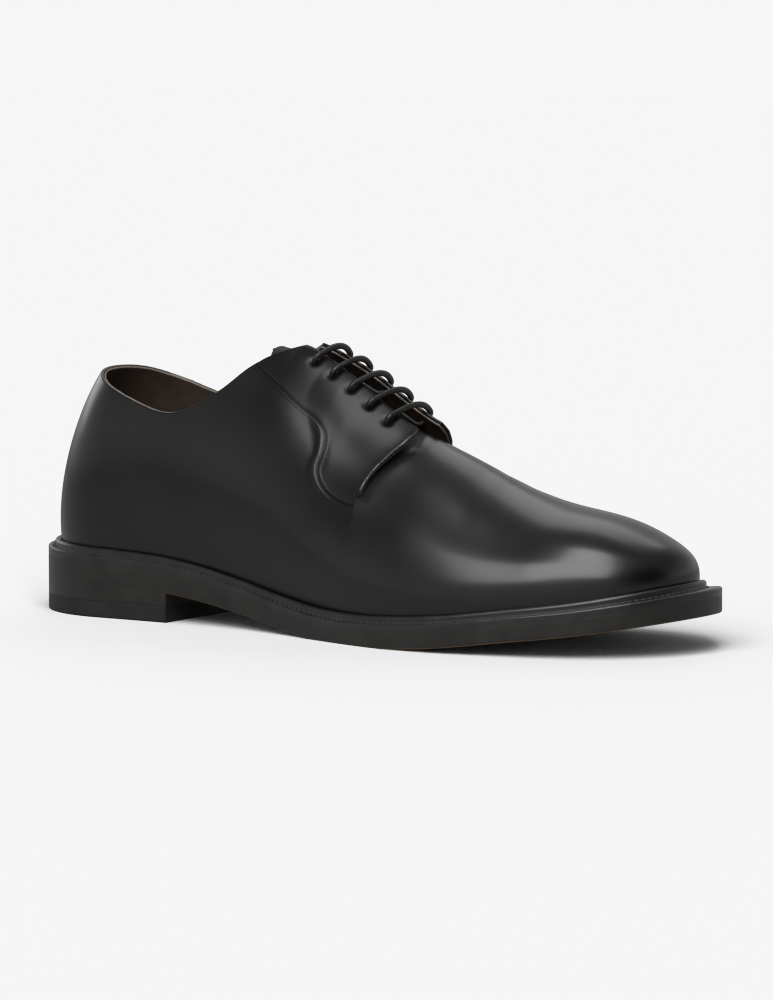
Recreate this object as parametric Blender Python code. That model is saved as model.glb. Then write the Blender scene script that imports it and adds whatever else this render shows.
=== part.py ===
"""A plain-toe derby shoe for the right foot: hollow lasted upper, tongue, insole, welt, outsole, heel, lift and lace.

Everything is worked out from one surface, the last. Each column of it is a cubic curve that leaves the feather
line, where the upper meets the sole, and climbs over the foot to the crest line. Lengths are in millimetres and
become metres when a mesh is made. X runs from heel to toe, the outer side of the foot is -Y, and +Z is up.
"""
import bpy
import bmesh
import numpy as np

MM = 0.001

# Sizes of the last and the pieces
LENGTH = 294.0              # feather line, from the heel's back to the toe's tip
HEEL_ROUND = 36.0           # length of the rounded heel end
TOE_ROUND = 50.0            # length of the rounded toe end
WALL = 2.2                  # upper and lining together
GAP = 0.3                   # between two pieces that touch on the real shoe
SKIRT = 2.3                 # upper below the top of the welt's bead
BEAD_HEIGHT = 2.6           # bead above the welt's ledge
BEAD_WIDTH = 2.4
WELT_THICK = 3.2
WELT_INSET = 2.6            # welt under the upper's wall
INSOLE_RISE = 0.6           # insole above the feather line
BREAST = 72.0               # station of the heel's front face
LIFT_THICK = 6.7            # rubber top lift

# Throat, tabs and lacing
THROAT_CENTRE = 1.5
THROAT_TOP = 95.0           # columns in front of this one stop at the throat's edge
THROAT_FRONT = 168.0        # the vamp is closed over the foot from here forward
SLIT = 168.5                # front edge of the lacing tabs, at the slit's lower end
SLIT_REACH = 30.0           # columns this near the slit bow with it
SLIT_WIDTH = 0.6
TAB_RISE = 5.5              # tab above the vamp at its front corner
TAB_BACK = 106.0            # the tab's seam starts here at the topline
CROWN_SHARE = 0.86          # the grid's line over the toe, which follows on from the throat's edge
TAB_JOIN = 2.0              # thickness of the web that joins the tab's front edge to the vamp
EYELETS = 5
EYELET_FIRST = 129.0
EYELET_PITCH = 9.0
EYELET_INSET = 5.5          # eyelet behind the throat's edge
EYELET_RADIUS = 1.85
LACE_RADIUS = 1.25
LACE_BEND = 2.2
LACE_OVER = 2.7             # lace's middle line above the tab's face
LACE_BOW = 0.5              # a bar's middle above the line between its two edges
TONGUE_DEPTH = 5.8          # tongue's face below the vamp's surface
TONGUE_FOLLOW = 0.6         # share of the tab's rise that the tongue follows
TONGUE_THICK = 2.0

PLAN = (  # station, centre line, half width, height of the feather line, welt past the upper
    (0.0, 0.0, 31.5, 29.2, 5.5),
    (35.0, 0.0, 31.5, 28.2, 5.0),
    (70.0, -1.0, 30.5, 26.4, 4.0),
    (110.0, -3.5, 30.0, 19.6, 4.0),
    (150.0, -4.6, 36.0, 12.5, 5.5),
    (190.0, -3.8, 45.0, 12.4, 6.5),
    (215.0, -1.6, 46.5, 14.5, 7.0),
    (240.0, 1.0, 44.0, 17.9, 7.5),
    (265.0, 3.2, 41.0, 21.4, 8.2),
    (294.0, 4.4, 39.0, 27.2, 9.0),
)
EDGE = (  # station, height of the sole's edge under the welt's top
    (0.0, 11.3),
    (80.0, 11.5),
    (120.0, 10.4),
    (150.0, 10.0),
    (294.0, 10.0),
)
CREST = (  # station, height, sideways
    (30.0, 113.0, 0.0),
    (60.0, 124.0, 0.5),
    (90.0, 121.0, 2.0),
    (110.0, 116.0, 3.0),
    (123.0, 112.0, 3.5),
    (134.0, 106.2, 4.0),
    (146.0, 98.8, 4.4),
    (155.0, 92.2, 4.5),
    (164.0, 85.8, 4.5),
    (174.0, 79.2, 4.5),
    (190.0, 72.0, 4.5),
    (215.0, 61.5, 4.0),
    (240.0, 54.5, 4.0),
    (262.0, 50.0, 4.2),
    (276.0, 44.5, 4.4),
)
HANDLES = (  # station, pull of the wall, pull of the crown, lean of the wall in degrees
    (0.0, 0.35, 0.56, 5.0),
    (35.0, 0.50, 0.80, 8.0),
    (70.0, 0.52, 0.80, 9.0),
    (110.0, 0.50, 0.72, 13.0),
    (135.0, 0.47, 0.69, 15.0),
    (150.0, 0.45, 0.61, 16.0),
    (190.0, 0.50, 0.50, 12.0),
    (215.0, 0.52, 0.52, 10.0),
    (240.0, 0.55, 0.56, 8.0),
    (265.0, 0.60, 0.62, 5.0),
    (294.0, 0.62, 0.62, 4.0),
)
HEEL_CREST_SHIFT, HEEL_CREST_REACH = 40.0, 70.0
TOE_CREST_SHIFT, TOE_CREST_START = 18.5, 225.0
TOPLINE = (  # station, height of the opening's edge
    (0.0, 100.7),
    (16.0, 98.8),
    (35.0, 93.6),
    (50.0, 89.6),
    (60.0, 86.9),
    (69.0, 85.5),
    (78.0, 87.2),
    (88.0, 92.2),
    (96.0, 97.5),
    (103.0, 104.0),
    (110.0, 108.6),
    (123.0, 113.0),
    (135.0, 116.0),
)
THROAT = (  # station, half width of the gap between the tabs
    (110.0, 5.0),
    (125.0, 5.0),
    (150.0, 6.5),
    (170.0, 7.5),
)
TAB_FOOT = (  # station, share of the column where the tab starts to rise
    (100.0, 0.74),
    (116.0, 0.70),
    (134.0, 0.68),
    (144.0, 0.52),
    (152.0, 0.45),
    (172.0, 0.44),
)
SLIT_LINE = (  # share of the column, station of the tab's front edge
    (0.0, 168.5),
    (0.44, 168.5),
    (0.52, 169.3),
    (0.60, 171.3),
    (0.67, 173.4),
    (0.75, 175.3),
    (0.84, 175.8),
    (0.92, 173.6),
    (1.0, 171.0),
)
TONGUE = (  # station, half width
    (105.0, 8.0),
    (106.5, 16.0),
    (110.0, 21.0),
    (125.0, 22.5),
    (150.0, 20.0),
    (166.0, 16.5),
    (176.0, 13.0),
    (181.0, 9.0),
)


def spline(rows, column):
    """A natural cubic curve through one column of a table, against the table's first column."""
    x = np.array([row[0] for row in rows])
    y = np.array([row[column] for row in rows])
    h, n = np.diff(x), len(x)
    a, b = np.eye(n), np.zeros(n)
    for i in range(1, n - 1):
        a[i, i - 1:i + 2] = h[i - 1], 2 * (h[i - 1] + h[i]), h[i]
        b[i] = 6 * ((y[i + 1] - y[i]) / h[i] - (y[i] - y[i - 1]) / h[i - 1])
    bend = np.linalg.solve(a, b)

    def curve(s):
        s = np.asarray(s, float)
        i = np.clip(np.searchsorted(x, s) - 1, 0, n - 2)
        t, k = s - x[i], h[i]
        slope = (y[i + 1] - y[i]) / k - k * (2 * bend[i] + bend[i + 1]) / 6
        return y[i] + t * (slope + t * (bend[i] / 2 + t * (bend[i + 1] - bend[i]) / (6 * k)))

    return curve


def table(rows, column):
    """Straight lines through one column of a table, level past its ends."""
    x = [row[0] for row in rows]
    y = [row[column] for row in rows]
    return lambda s: np.interp(s, x, y)


centre_at, half_at, seat_at, welt_at = (spline(PLAN, c) for c in (1, 2, 3, 4))
edge_at = spline(EDGE, 1)
crest_height, crest_side = (spline(CREST, c) for c in (1, 2))
wall_pull, crown_pull, lean_at = (spline(HANDLES, c) for c in (1, 2, 3))
topline_at = spline(TOPLINE, 1)
throat_half = table(THROAT, 1)
tab_foot = table(TAB_FOOT, 1)
tongue_half = table(TONGUE, 1)
slit_line = table(SLIT_LINE, 1)


def ends_folded(x, side):
    """Stations past either end come back on the other side, so that slopes can be taken across the ends."""
    over = (x < 0) | (x > LENGTH)
    x = np.where(x < 0, -x, np.where(x > LENGTH, 2 * LENGTH - x, x))
    return x, np.where(over, -side, side)


def feather(x, side):
    """A point of the feather line. side is -1 on the outer side of the foot and +1 on the inner side."""
    heel = np.clip((HEEL_ROUND - x) / HEEL_ROUND, 0, 1)
    toe = np.clip((x - LENGTH + TOE_ROUND) / TOE_ROUND, 0, 1)
    narrow = np.sqrt(np.clip(1 - heel ** 2, 0, 1)) * np.clip(1 - toe ** 2.15, 0, 1) ** (1 / 2.05)
    return np.stack([x, centre_at(x) + side * half_at(x) * narrow, seat_at(x)], -1)


def outward(x, side):
    """The outline's level normal, from the points just before and after."""
    step = 0.02
    ahead = feather(*ends_folded(x + step, side))
    behind = feather(*ends_folded(x - step, side))
    along = (ahead - behind)[..., :2]
    normal = np.stack([along[..., 1], -along[..., 0], np.zeros(along.shape[:-1])], -1) * (-side)[..., None]
    return normal / np.linalg.norm(normal, axis=-1, keepdims=True)


def crest_station(x):
    """Where a column that starts at x meets the crest: the heel's and toe's columns lean inward over the foot."""
    heel = np.clip(1 - x / HEEL_CREST_REACH, 0, 1)
    toe = np.clip((x - TOE_CREST_START) / (LENGTH - TOE_CREST_START), 0, 1)
    return x + HEEL_CREST_SHIFT * heel ** 2 - TOE_CREST_SHIFT * toe ** 2


def last(x, side, share):
    """A point of the last: share 0 is on the feather line and 1 on the crest. All three have one shape."""
    x, side, share = np.broadcast_arrays(np.asarray(x, float), np.asarray(side, float), np.asarray(share, float))
    x, side = ends_folded(x, side)
    base = feather(x, side)
    away = outward(x, side)
    over = crest_station(x)
    top = np.stack([over, crest_side(over), crest_height(over)], -1)
    along = np.stack([np.ones_like(over), crest_side(over + 0.5) - crest_side(over - 0.5),
                      crest_height(over + 0.5) - crest_height(over - 0.5)], -1)
    along /= np.linalg.norm(along, axis=-1, keepdims=True)
    arrive = -(away[..., :1] * along + away[..., 1:2] * np.array([0.0, 1.0, 0.0]))
    arrive /= np.linalg.norm(arrive, axis=-1, keepdims=True)
    rise = (top - base)[..., 2:]
    reach = np.linalg.norm((top - base)[..., :2], axis=-1, keepdims=True)
    lean = np.radians(lean_at(x))[..., None]
    leave = np.sin(lean) * away + np.cos(lean) * np.array([0.0, 0.0, 1.0])
    first = base + leave * wall_pull(x)[..., None] * rise
    second = top - arrive * crown_pull(x)[..., None] * reach
    t = share[..., None]
    s = 1 - t
    return base * s ** 3 + 3 * first * s ** 2 * t + 3 * second * s * t ** 2 + top * t ** 3


def facing(x, side, share):
    """Unit normals of the last, pointing out of it."""
    x, side, share = np.broadcast_arrays(np.asarray(x, float), np.asarray(side, float), np.asarray(share, float))
    step, climb = 0.05, 0.002
    low, high = np.clip(share - climb, 0, 1), np.clip(share + climb, 0, 1)
    along = last(x + step, side, share) - last(x - step, side, share)
    up = last(x, side, high) - last(x, side, low)
    normal = np.cross(along, up) * (-side)[..., None]
    # On the crest itself both sides have the same tangent plane, which holds the crest line and the Y direction
    inside, _ = ends_folded(x, side)
    over = crest_station(inside)
    slope = crest_height(over + 0.5) - crest_height(over - 0.5)
    ridge = np.stack([-slope, np.zeros_like(slope), np.ones_like(slope)], -1)
    normal = np.where(share[..., None] > 0.9995, ridge, normal)
    return normal / np.linalg.norm(normal, axis=-1, keepdims=True)


def bowed(x, share):
    """Stations moved so that the column at SLIT follows the tab's front edge, and its neighbours follow in part."""
    near = np.clip(1 - np.abs(x - SLIT) / SLIT_REACH, 0, 1)
    return x + (slit_line(share) - SLIT) * near ** 2 * (3 - 2 * near)


def share_where(x, side, found, bow=False):
    """The first share of each column at which found(points) is true."""
    fine = np.linspace(0.2, 1, 401)[None, :]
    x = np.atleast_1d(x)[:, None]
    x = bowed(x, fine) if bow else x + 0 * fine
    points = last(x, side, fine)
    hit = found(points, x)
    fine = fine[0]
    return np.where(hit.any(axis=1), fine[hit.argmax(axis=1)], 1.0)


def throat_share(x, side, wider=0.0, bow=False):
    """Where each column comes within the throat's half width of its centre line."""
    return share_where(x, side, lambda p, s: side * (p[..., 1] - THROAT_CENTRE) < throat_half(s) + wider, bow)


def topline_share(x, side):
    """Where each column reaches the opening's edge."""
    return share_where(x, side, lambda p, s: p[..., 2] > topline_at(s))


def tab_rise(x, share, edge):
    """How far the tab stands off the last: nothing at its seam, growing to the throat's edge and to the front."""
    forward = np.clip((x - TAB_BACK) / (slit_line(share) - TAB_BACK), 0, 1)
    foot = tab_foot(x)
    up = np.clip((share - foot) / np.maximum(edge - foot, 0.02), 0, 1)
    return TAB_RISE * forward * up ** 1.3


def mesh_object(name, points, faces, colour, roughness):
    """A named object with its own material, from points in millimetres. Equal points are joined."""
    mesh = bpy.data.meshes.new(name)
    mesh.from_pydata((np.asarray(points) * MM).tolist(), [], faces)
    obj = bpy.data.objects.new(name, mesh)
    bpy.context.scene.collection.objects.link(obj)
    work = bmesh.new()
    work.from_mesh(mesh)
    bmesh.ops.remove_doubles(work, verts=work.verts, dist=2e-6)
    bmesh.ops.dissolve_degenerate(work, edges=work.edges, dist=2e-6)
    bmesh.ops.recalc_face_normals(work, faces=work.faces)
    bmesh.ops.triangulate(work, faces=work.faces)
    work.to_mesh(mesh)
    work.free()
    material = bpy.data.materials.new(name)
    material.use_nodes = True
    shader = material.node_tree.nodes["Principled BSDF"]
    shader.inputs["Base Color"].default_value = (*colour, 1.0)
    shader.inputs["Roughness"].default_value = roughness
    mesh.materials.append(material)
    return obj


class Shell:
    """Points and faces of one closed body, added a block at a time."""

    def __init__(self):
        self.points, self.faces = [], []

    def block(self, grid):
        """A grid of points, shape (rows, columns, 3), as four-cornered faces."""
        rows, columns = grid.shape[:2]
        start = len(self.points)
        self.points.extend(grid.reshape(-1, 3))
        for i in range(rows - 1):
            for j in range(columns - 1):
                a = start + i * columns + j
                self.faces.append((a, a + 1, a + columns + 1, a + columns))

    def strip(self, one, other):
        """Faces between two lines of points."""
        self.block(np.stack([one, other]))


def stations_of_upper():
    """Column stations: close together round both ends, and placed at the throat's corner, its front and the slit."""
    heel = HEEL_ROUND * (1 - np.cos(np.linspace(0, np.pi / 2, 9, endpoint=False)))
    side = np.linspace(HEEL_ROUND, 118.0, 12)
    tab = np.concatenate([np.linspace(123.0, THROAT_FRONT - TAB_JOIN, 9), [THROAT_FRONT]])
    vamp = np.linspace(SLIT + 4.0, LENGTH - TOE_ROUND, 10, endpoint=False)
    toe = LENGTH - TOE_ROUND + TOE_ROUND * np.sin(np.linspace(0, np.pi / 2, 11))
    return np.concatenate([heel, side, tab, [SLIT, SLIT + SLIT_WIDTH], vamp, toe])


def build_upper():
    """The hollow upper: an outer and an inner skin, closed at the topline, the throat and the lower rim."""
    shell = Shell()
    x = stations_of_upper()
    front = int(np.searchsorted(x, THROAT_FRONT - 1e-6))
    slit = int(np.searchsorted(x, SLIT - 1e-6))
    rows, over = 12, 4
    share_of_row = np.linspace(0, 1, rows + 1)
    crest_lines = {}
    for side in (-1, 1):
        throat = throat_share(x, side, bow=True)
        top = topline_share(x, side)
        edge = np.where(x < THROAT_TOP, top, np.minimum(top, throat))
        held = throat[slit + 1]
        forward = x > SLIT + SLIT_WIDTH
        blend = np.clip((x - SLIT) / (TOE_CREST_START - SLIT), 0, 1)
        edge = np.where(forward, held + (CROWN_SHARE - held) * blend, edge)
        share = edge[:, None] * share_of_row[None, :]
        stations = bowed(x[:, None], share)
        place, normal = last(stations, side, share), facing(stations, side, share)
        rise = tab_rise(stations, share, edge[:, None]) * (x[:, None] <= SLIT + 1e-6)
        inside = rise * np.clip((THROAT_FRONT - x[:, None]) / TAB_JOIN, 0, 1)
        outer = place + normal * rise[..., None]
        inner = place + normal * (inside - WALL)[..., None]
        low = np.array([0.0, 0.0, SKIRT])
        outer = np.concatenate([outer[:, :1] - low, outer], axis=1)
        inner = np.concatenate([inner[:, :1] * [1, 1, 0] + (outer[:, :1] * [0, 0, 1]), inner], axis=1)
        shell.block(outer)
        shell.block(inner)
        shell.strip(outer[:, 0], inner[:, 0])
        shell.strip(outer[:front + 1, -1], inner[:front + 1, -1])
        # The strip of vamp between the throat's edge and the crest
        x_over = x[front:]
        first = np.minimum(edge[front:] + 0.022, 0.999)
        share = first[:, None] + (1 - first)[:, None] * np.linspace(0, 1, over)[None, :]
        stations = bowed(x_over[:, None], share)
        place, normal = last(stations, side, share), facing(stations, side, share)
        outer_over = np.concatenate([outer[front:, -1:], place], axis=1)
        inner_over = np.concatenate([inner[front:, -1:], place - normal * WALL], axis=1)
        shell.block(outer_over)
        shell.block(inner_over)
        shell.strip(outer_over[0], inner_over[0])
    return mesh_object("upper", shell.points, shell.faces, (0.02, 0.02, 0.02), 0.3)


def outline(x, out):
    """The feather line moved outward, as two lines from heel to toe: outer side, then inner side."""
    lines = []
    for side in (-1.0, 1.0):
        edge = np.full_like(x, side)
        lines.append(feather(x, edge) + outward(x, edge) * np.broadcast_to(out, x.shape)[..., None])
    return lines


def at_height(line, height):
    """The line with its heights replaced."""
    return np.stack([line[..., 0], line[..., 1], np.broadcast_to(height, line.shape[:-1])], -1)


def sole_stations(stop=None, sides=26):
    """Stations for the flat pieces, close together round the ends. stop ends them at a straight front."""
    heel = HEEL_ROUND * (1 - np.cos(np.linspace(0, np.pi / 2, 10, endpoint=False)))
    if stop is not None:
        return np.concatenate([heel, np.linspace(HEEL_ROUND, stop, 6)])
    side = np.linspace(HEEL_ROUND, LENGTH - TOE_ROUND, sides, endpoint=False)
    toe = LENGTH - TOE_ROUND + TOE_ROUND * np.sin(np.linspace(0, np.pi / 2, 14))
    return np.concatenate([heel, side, toe])


def ledge_at(x):
    """Height of the welt's ledge, which is the top of the sole's edge."""
    return seat_at(x) - BEAD_HEIGHT


def tread_at(x):
    """Height of the outsole's underside: level with the ground under the ball."""
    return np.maximum(ledge_at(x) - edge_at(x), 0.0)


def slab(name, x, out, low, high, colour, roughness):
    """A flat piece with the outline moved by out, between two heights given at each station."""
    shell = Shell()
    near, far = outline(x, out)
    top = np.stack([at_height(near, high), at_height(far, high)], 1)
    base = np.stack([at_height(near, low), at_height(far, low)], 1)
    shell.block(top)
    shell.block(base)
    shell.strip(top[:, 0], base[:, 0])
    shell.strip(top[:, 1], base[:, 1])
    shell.strip(top[-1], base[-1])
    return mesh_object(name, shell.points, shell.faces, colour, roughness)


def build_welt():
    """A ring under the upper's rim, with a bead that stands up beside the upper."""
    shell = Shell()
    x = sole_stations(sides=16)
    out = welt_at(x)
    ledge = ledge_at(x)
    profile = (  # distance out from the feather line, height over the ledge
        (np.full_like(x, -WELT_INSET), 0.0),
        (np.full_like(x, GAP), 0.0),
        (np.full_like(x, GAP), BEAD_HEIGHT - 0.7),
        (np.full_like(x, GAP + 0.7), BEAD_HEIGHT),
        (np.full_like(x, GAP + BEAD_WIDTH - 0.7), BEAD_HEIGHT - 0.2),
        (np.full_like(x, GAP + BEAD_WIDTH), 0.4),
        (out - 0.6, 0.0),
        (out, -0.6),
        (out, -WELT_THICK),
        (np.full_like(x, -WELT_INSET), -WELT_THICK),
    )
    for side in (0, 1):
        lines = [at_height(outline(x, away)[side], ledge + up) for away, up in profile]
        shell.block(np.stack(lines + lines[:1], 1))
    return mesh_object("welt", shell.points, shell.faces, (0.02, 0.018, 0.016), 0.5)


def build_tongue():
    """A curved leaf under the tabs, from under the vamp to above the top eyelets."""
    shell = Shell()
    x = np.concatenate([[105.0, 105.6, 106.5], np.linspace(109.0, 176.0, 17), [181.0]])
    across = np.linspace(-1, 1, 11)
    top, base = [], []
    for station in x:
        target = THROAT_CENTRE + across * tongue_half(station)
        ridge = crest_side(station)
        fine = np.linspace(0.3, 1, 401)
        side = np.where(target < ridge, -1.0, 1.0)
        share = np.empty_like(target)
        edge = np.empty_like(target)
        for s in (-1, 1):
            line = last(station, s, fine)
            order = np.argsort(line[:, 1])
            mine = side == s
            share[mine] = np.interp(target[mine], line[order, 1], fine[order])
            edge[mine] = throat_share(np.array([station]), s)[0]
        place, normal = last(station, side, share), facing(station, side, share)
        depth = TONGUE_FOLLOW * tab_rise(station, share, edge) - TONGUE_DEPTH
        top.append(place + normal * depth[:, None])
        base.append(place + normal * (depth - TONGUE_THICK)[:, None])
    top, base = np.array(top), np.array(base)
    shell.block(top)
    shell.block(base)
    shell.strip(top[:, 0], base[:, 0])
    shell.strip(top[:, -1], base[:, -1])
    shell.strip(top[0], base[0])
    shell.strip(top[-1], base[-1])
    return mesh_object("tongue", shell.points, shell.faces, (0.02, 0.02, 0.02), 0.4)


def eyelet(row, side):
    """Centre and outward normal of an eyelet on the tab's outer face. Row 0 is the top one."""
    station = np.array([EYELET_FIRST + row * EYELET_PITCH])
    share = throat_share(station, side, EYELET_INSET)
    edge = throat_share(station, side)
    rise = tab_rise(station, share, edge)
    normal = facing(station, side, share)
    return (last(station, side, share) + normal * rise[:, None])[0], normal[0]


def cut_eyelets(upper):
    """Takes a round hole out of both tabs at each row of eyelets."""
    angle = np.linspace(0, 2 * np.pi, 12, endpoint=False)
    for row in range(EYELETS):
        for side in (-1, 1):
            centre, normal = eyelet(row, side)
            level = np.cross(normal, [1.0, 0.0, 0.0])
            level /= np.linalg.norm(level)
            other = np.cross(normal, level)
            ring = (np.cos(angle)[:, None] * level + np.sin(angle)[:, None] * other) * EYELET_RADIUS
            shell = Shell()
            high, low = centre + normal * 3.0 + ring, centre - normal * (WALL + 3.5) + ring
            shell.strip(np.concatenate([high, high[:1]]), np.concatenate([low, low[:1]]))
            count = len(angle)
            shell.points.extend([*high, *low])
            shell.faces.append(tuple(range(2 * (count + 1), 2 * (count + 1) + count)))
            shell.faces.append(tuple(range(2 * (count + 1) + count, 2 * (count + 1) + 2 * count)))
            cutter = mesh_object("cutter", shell.points, shell.faces, (1, 0, 0), 0.5)
            boolean = upper.modifiers.new("eyelet", "BOOLEAN")
            boolean.operation = "DIFFERENCE"
            boolean.solver = "EXACT"
            boolean.object = cutter
            graph = bpy.context.evaluated_depsgraph_get()
            cut = bpy.data.meshes.new_from_object(upper.evaluated_get(graph))
            upper.modifiers.remove(boolean)
            old = upper.data
            upper.data = cut
            bpy.data.meshes.remove(old)
            bpy.data.objects.remove(cutter)


def arc(corner, come, go, bend, steps=4):
    """A rounded corner of a path: from come's direction to go's direction, both unit vectors."""
    turn = np.linspace(0, np.pi / 2, steps)
    return [corner - come * bend * (1 - np.sin(a)) + go * bend * (1 - np.cos(a)) for a in turn]


def lace_path():
    """The lace's middle line: bars straight over the throat, joined under the tabs by turns at each side."""
    path = []
    side = -1
    for row in range(EYELETS - 1, -1, -1):
        start, start_out = eyelet(row, side)
        end, end_out = eyelet(row, -side)
        across = (end - start) / np.linalg.norm(end - start)
        go = across - start_out * (across @ start_out)
        go /= np.linalg.norm(go)
        come = across - end_out * (across @ end_out)
        come /= np.linalg.norm(come)
        if path:
            back = path[-1] - (start - start_out * (WALL + LACE_BEND))
            back -= start_out * (back @ start_out)
            back /= np.linalg.norm(back)
            path += arc(start - start_out * (WALL + LACE_BEND), -back, start_out, LACE_BEND)
        else:
            path.append(start - start_out * (WALL + LACE_BEND + 0.6))
        path += arc(start + start_out * LACE_OVER, start_out, go, LACE_BEND)
        first = start + start_out * LACE_OVER + go * LACE_BEND
        last_point = end + end_out * LACE_OVER - come * LACE_BEND
        middle = (start_out + end_out) / np.linalg.norm(start_out + end_out)
        span = np.linalg.norm(last_point - first)
        pull = np.linspace(0, 1, 8)[1:-1, None]
        one, two = first + go * span * 0.36, last_point - come * span * 0.36
        curve = first * (1 - pull) ** 3 + 3 * one * (1 - pull) ** 2 * pull
        curve = curve + 3 * two * (1 - pull) * pull ** 2 + last_point * pull ** 3
        path += list(curve + middle * LACE_BOW * (4 * pull * (1 - pull)) ** 2)
        path += arc(end + end_out * LACE_OVER, come, -end_out, LACE_BEND)
        if row:
            next_eye, next_out = eyelet(row - 1, -side)
            ahead = next_eye - end
            ahead -= end_out * (ahead @ end_out)
            ahead /= np.linalg.norm(ahead)
            path += arc(end - end_out * (WALL + LACE_BEND), -end_out, ahead, LACE_BEND)
        else:
            path.append(end - end_out * (WALL + LACE_BEND + 0.6))
        side = -side
    return np.array(path)


def build_lace():
    """A round cord along the lace's path."""
    path = lace_path()
    keep = np.concatenate([[True], np.linalg.norm(np.diff(path, axis=0), axis=1) > 0.15])
    path = path[keep]
    along = np.gradient(path, axis=0)
    along /= np.linalg.norm(along, axis=1)[:, None]
    across = np.cross(along[0], [0.0, 0.0, 1.0])
    if np.linalg.norm(across) < 0.1:
        across = np.cross(along[0], [1.0, 0.0, 0.0])
    angle = np.linspace(0, 2 * np.pi, 8, endpoint=False)
    rings = []
    for point, direction in zip(path, along):
        across = across - direction * (across @ direction)
        across /= np.linalg.norm(across)
        other = np.cross(direction, across)
        rings.append(point + LACE_RADIUS * (np.cos(angle)[:, None] * across + np.sin(angle)[:, None] * other))
    rings = np.array(rings)
    shell = Shell()
    shell.block(np.concatenate([rings, rings[:, :1]], axis=1))
    start = len(shell.points)
    shell.points.extend([*rings[0], *rings[-1]])
    shell.faces.append(tuple(range(start, start + 8)))
    shell.faces.append(tuple(range(start + 8, start + 16)))
    return mesh_object("lace", shell.points, shell.faces, (0.02, 0.02, 0.02), 0.6)


for obj in list(bpy.data.objects):
    bpy.data.objects.remove(obj, do_unlink=True)

upper = build_upper()
cut_eyelets(upper)
build_tongue()
whole = sole_stations()
insole_base = ledge_at(whole) - WELT_THICK
slab("insole", whole, -(WELT_INSET + GAP), insole_base, seat_at(whole) + INSOLE_RISE, (0.12, 0.07, 0.04), 0.7)
build_welt()
slab("outsole", whole, welt_at(whole), tread_at(whole), insole_base - GAP, (0.45, 0.28, 0.15), 0.6)
heel = sole_stations(BREAST)
heel_out = np.minimum(welt_at(heel), 5.5)
slab("heel_stack", heel, heel_out, np.full_like(heel, LIFT_THICK + GAP), tread_at(heel) - GAP, (0.02, 0.018, 0.016), 0.5)
slab("top_lift", heel, heel_out, np.zeros_like(heel), np.full_like(heel, LIFT_THICK), (0.015, 0.015, 0.015), 0.8)
build_lace()

# The origin is under the middle of the whole: half the outsole's length and width
near, far = outline(whole, welt_at(whole))
middle = (np.concatenate([near, far]).max(axis=0) + np.concatenate([near, far]).min(axis=0)) / 2
for obj in bpy.data.objects:
    for vertex in obj.data.vertices:
        vertex.co.x -= middle[0] * MM
        vertex.co.y -= middle[1] * MM
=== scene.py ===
# %% [markdown]
# A plain-toe derby for the right foot, in black polished calf, on a storm welt with a low stacked heel. The
# imported model gives the frame: every piece made here lies where its plain solid lies, in the same metres.
# The frame is loaded first. The finished shoe has to stay inside it.

import bpy
import bmesh
import numpy as np
from mathutils import Matrix


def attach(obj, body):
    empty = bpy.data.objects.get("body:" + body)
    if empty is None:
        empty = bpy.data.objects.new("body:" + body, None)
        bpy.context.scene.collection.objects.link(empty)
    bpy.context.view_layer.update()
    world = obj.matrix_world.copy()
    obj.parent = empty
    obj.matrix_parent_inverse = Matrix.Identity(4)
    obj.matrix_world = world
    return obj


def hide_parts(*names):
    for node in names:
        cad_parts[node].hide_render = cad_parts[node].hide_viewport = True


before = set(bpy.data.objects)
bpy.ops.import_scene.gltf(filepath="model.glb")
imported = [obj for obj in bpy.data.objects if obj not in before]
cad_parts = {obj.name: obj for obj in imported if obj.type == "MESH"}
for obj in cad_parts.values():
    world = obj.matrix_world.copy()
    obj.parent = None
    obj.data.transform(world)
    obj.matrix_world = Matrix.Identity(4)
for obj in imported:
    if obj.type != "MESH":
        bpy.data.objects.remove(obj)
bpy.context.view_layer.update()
MM = 0.001

# %% [markdown]
# The camera comes first. A shoe of 300 mm photographed from about 2.2 m has little perspective, so the lens
# is long. It stands where the photographer stood, which keeps the photograph's angle to the shoe, and is
# turned so that the one shoe that is built fills the frame. A longer lens from the same place changes the
# size and nothing else.

# %% Camera
def direction(azimuth, elevation):
    """The unit vector from the object towards a viewer: (sin a cos e, -cos a cos e, sin e)."""
    a, e = np.radians(azimuth), np.radians(elevation)
    return np.array([np.sin(a) * np.cos(e), -np.cos(a) * np.cos(e), np.sin(e)])


VIEW_FROM = (33.789, 7.291)        # azimuth and elevation of the viewer, in degrees
VIEW_AIM = (33.544, 5.965)         # the same for the way that the camera is turned
VIEW_TARGET = np.array([-3.75, 1.68, 0.0])    # mm, on the floor under the shoe
VIEW_DISTANCE = 2206.0             # mm from there to the viewer
IMAGE_HEIGHT = 1000.0              # pixels
FOCAL_PIXELS = 5450.0              # focal length over the size of one of them
SENSOR = 36.0                      # mm


def axes_towards(azimuth, elevation):
    """Right, up and back of a thing that looks at the object: back is direction(a, e), right is
    direction(a + 90, 0), and up is their cross product."""
    back, right = direction(azimuth, elevation), direction(azimuth + 90.0, 0.0)
    return right, np.cross(back, right), back


def stand(thing, axes, place):
    """Puts an object into the scene at a place in metres, its own x, y and z along the three axes."""
    turn = np.eye(4)
    turn[:3, 0], turn[:3, 1], turn[:3, 2] = axes
    turn[:3, 3] = place
    thing.matrix_world = Matrix(turn.tolist())
    bpy.context.scene.collection.objects.link(thing)


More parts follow.
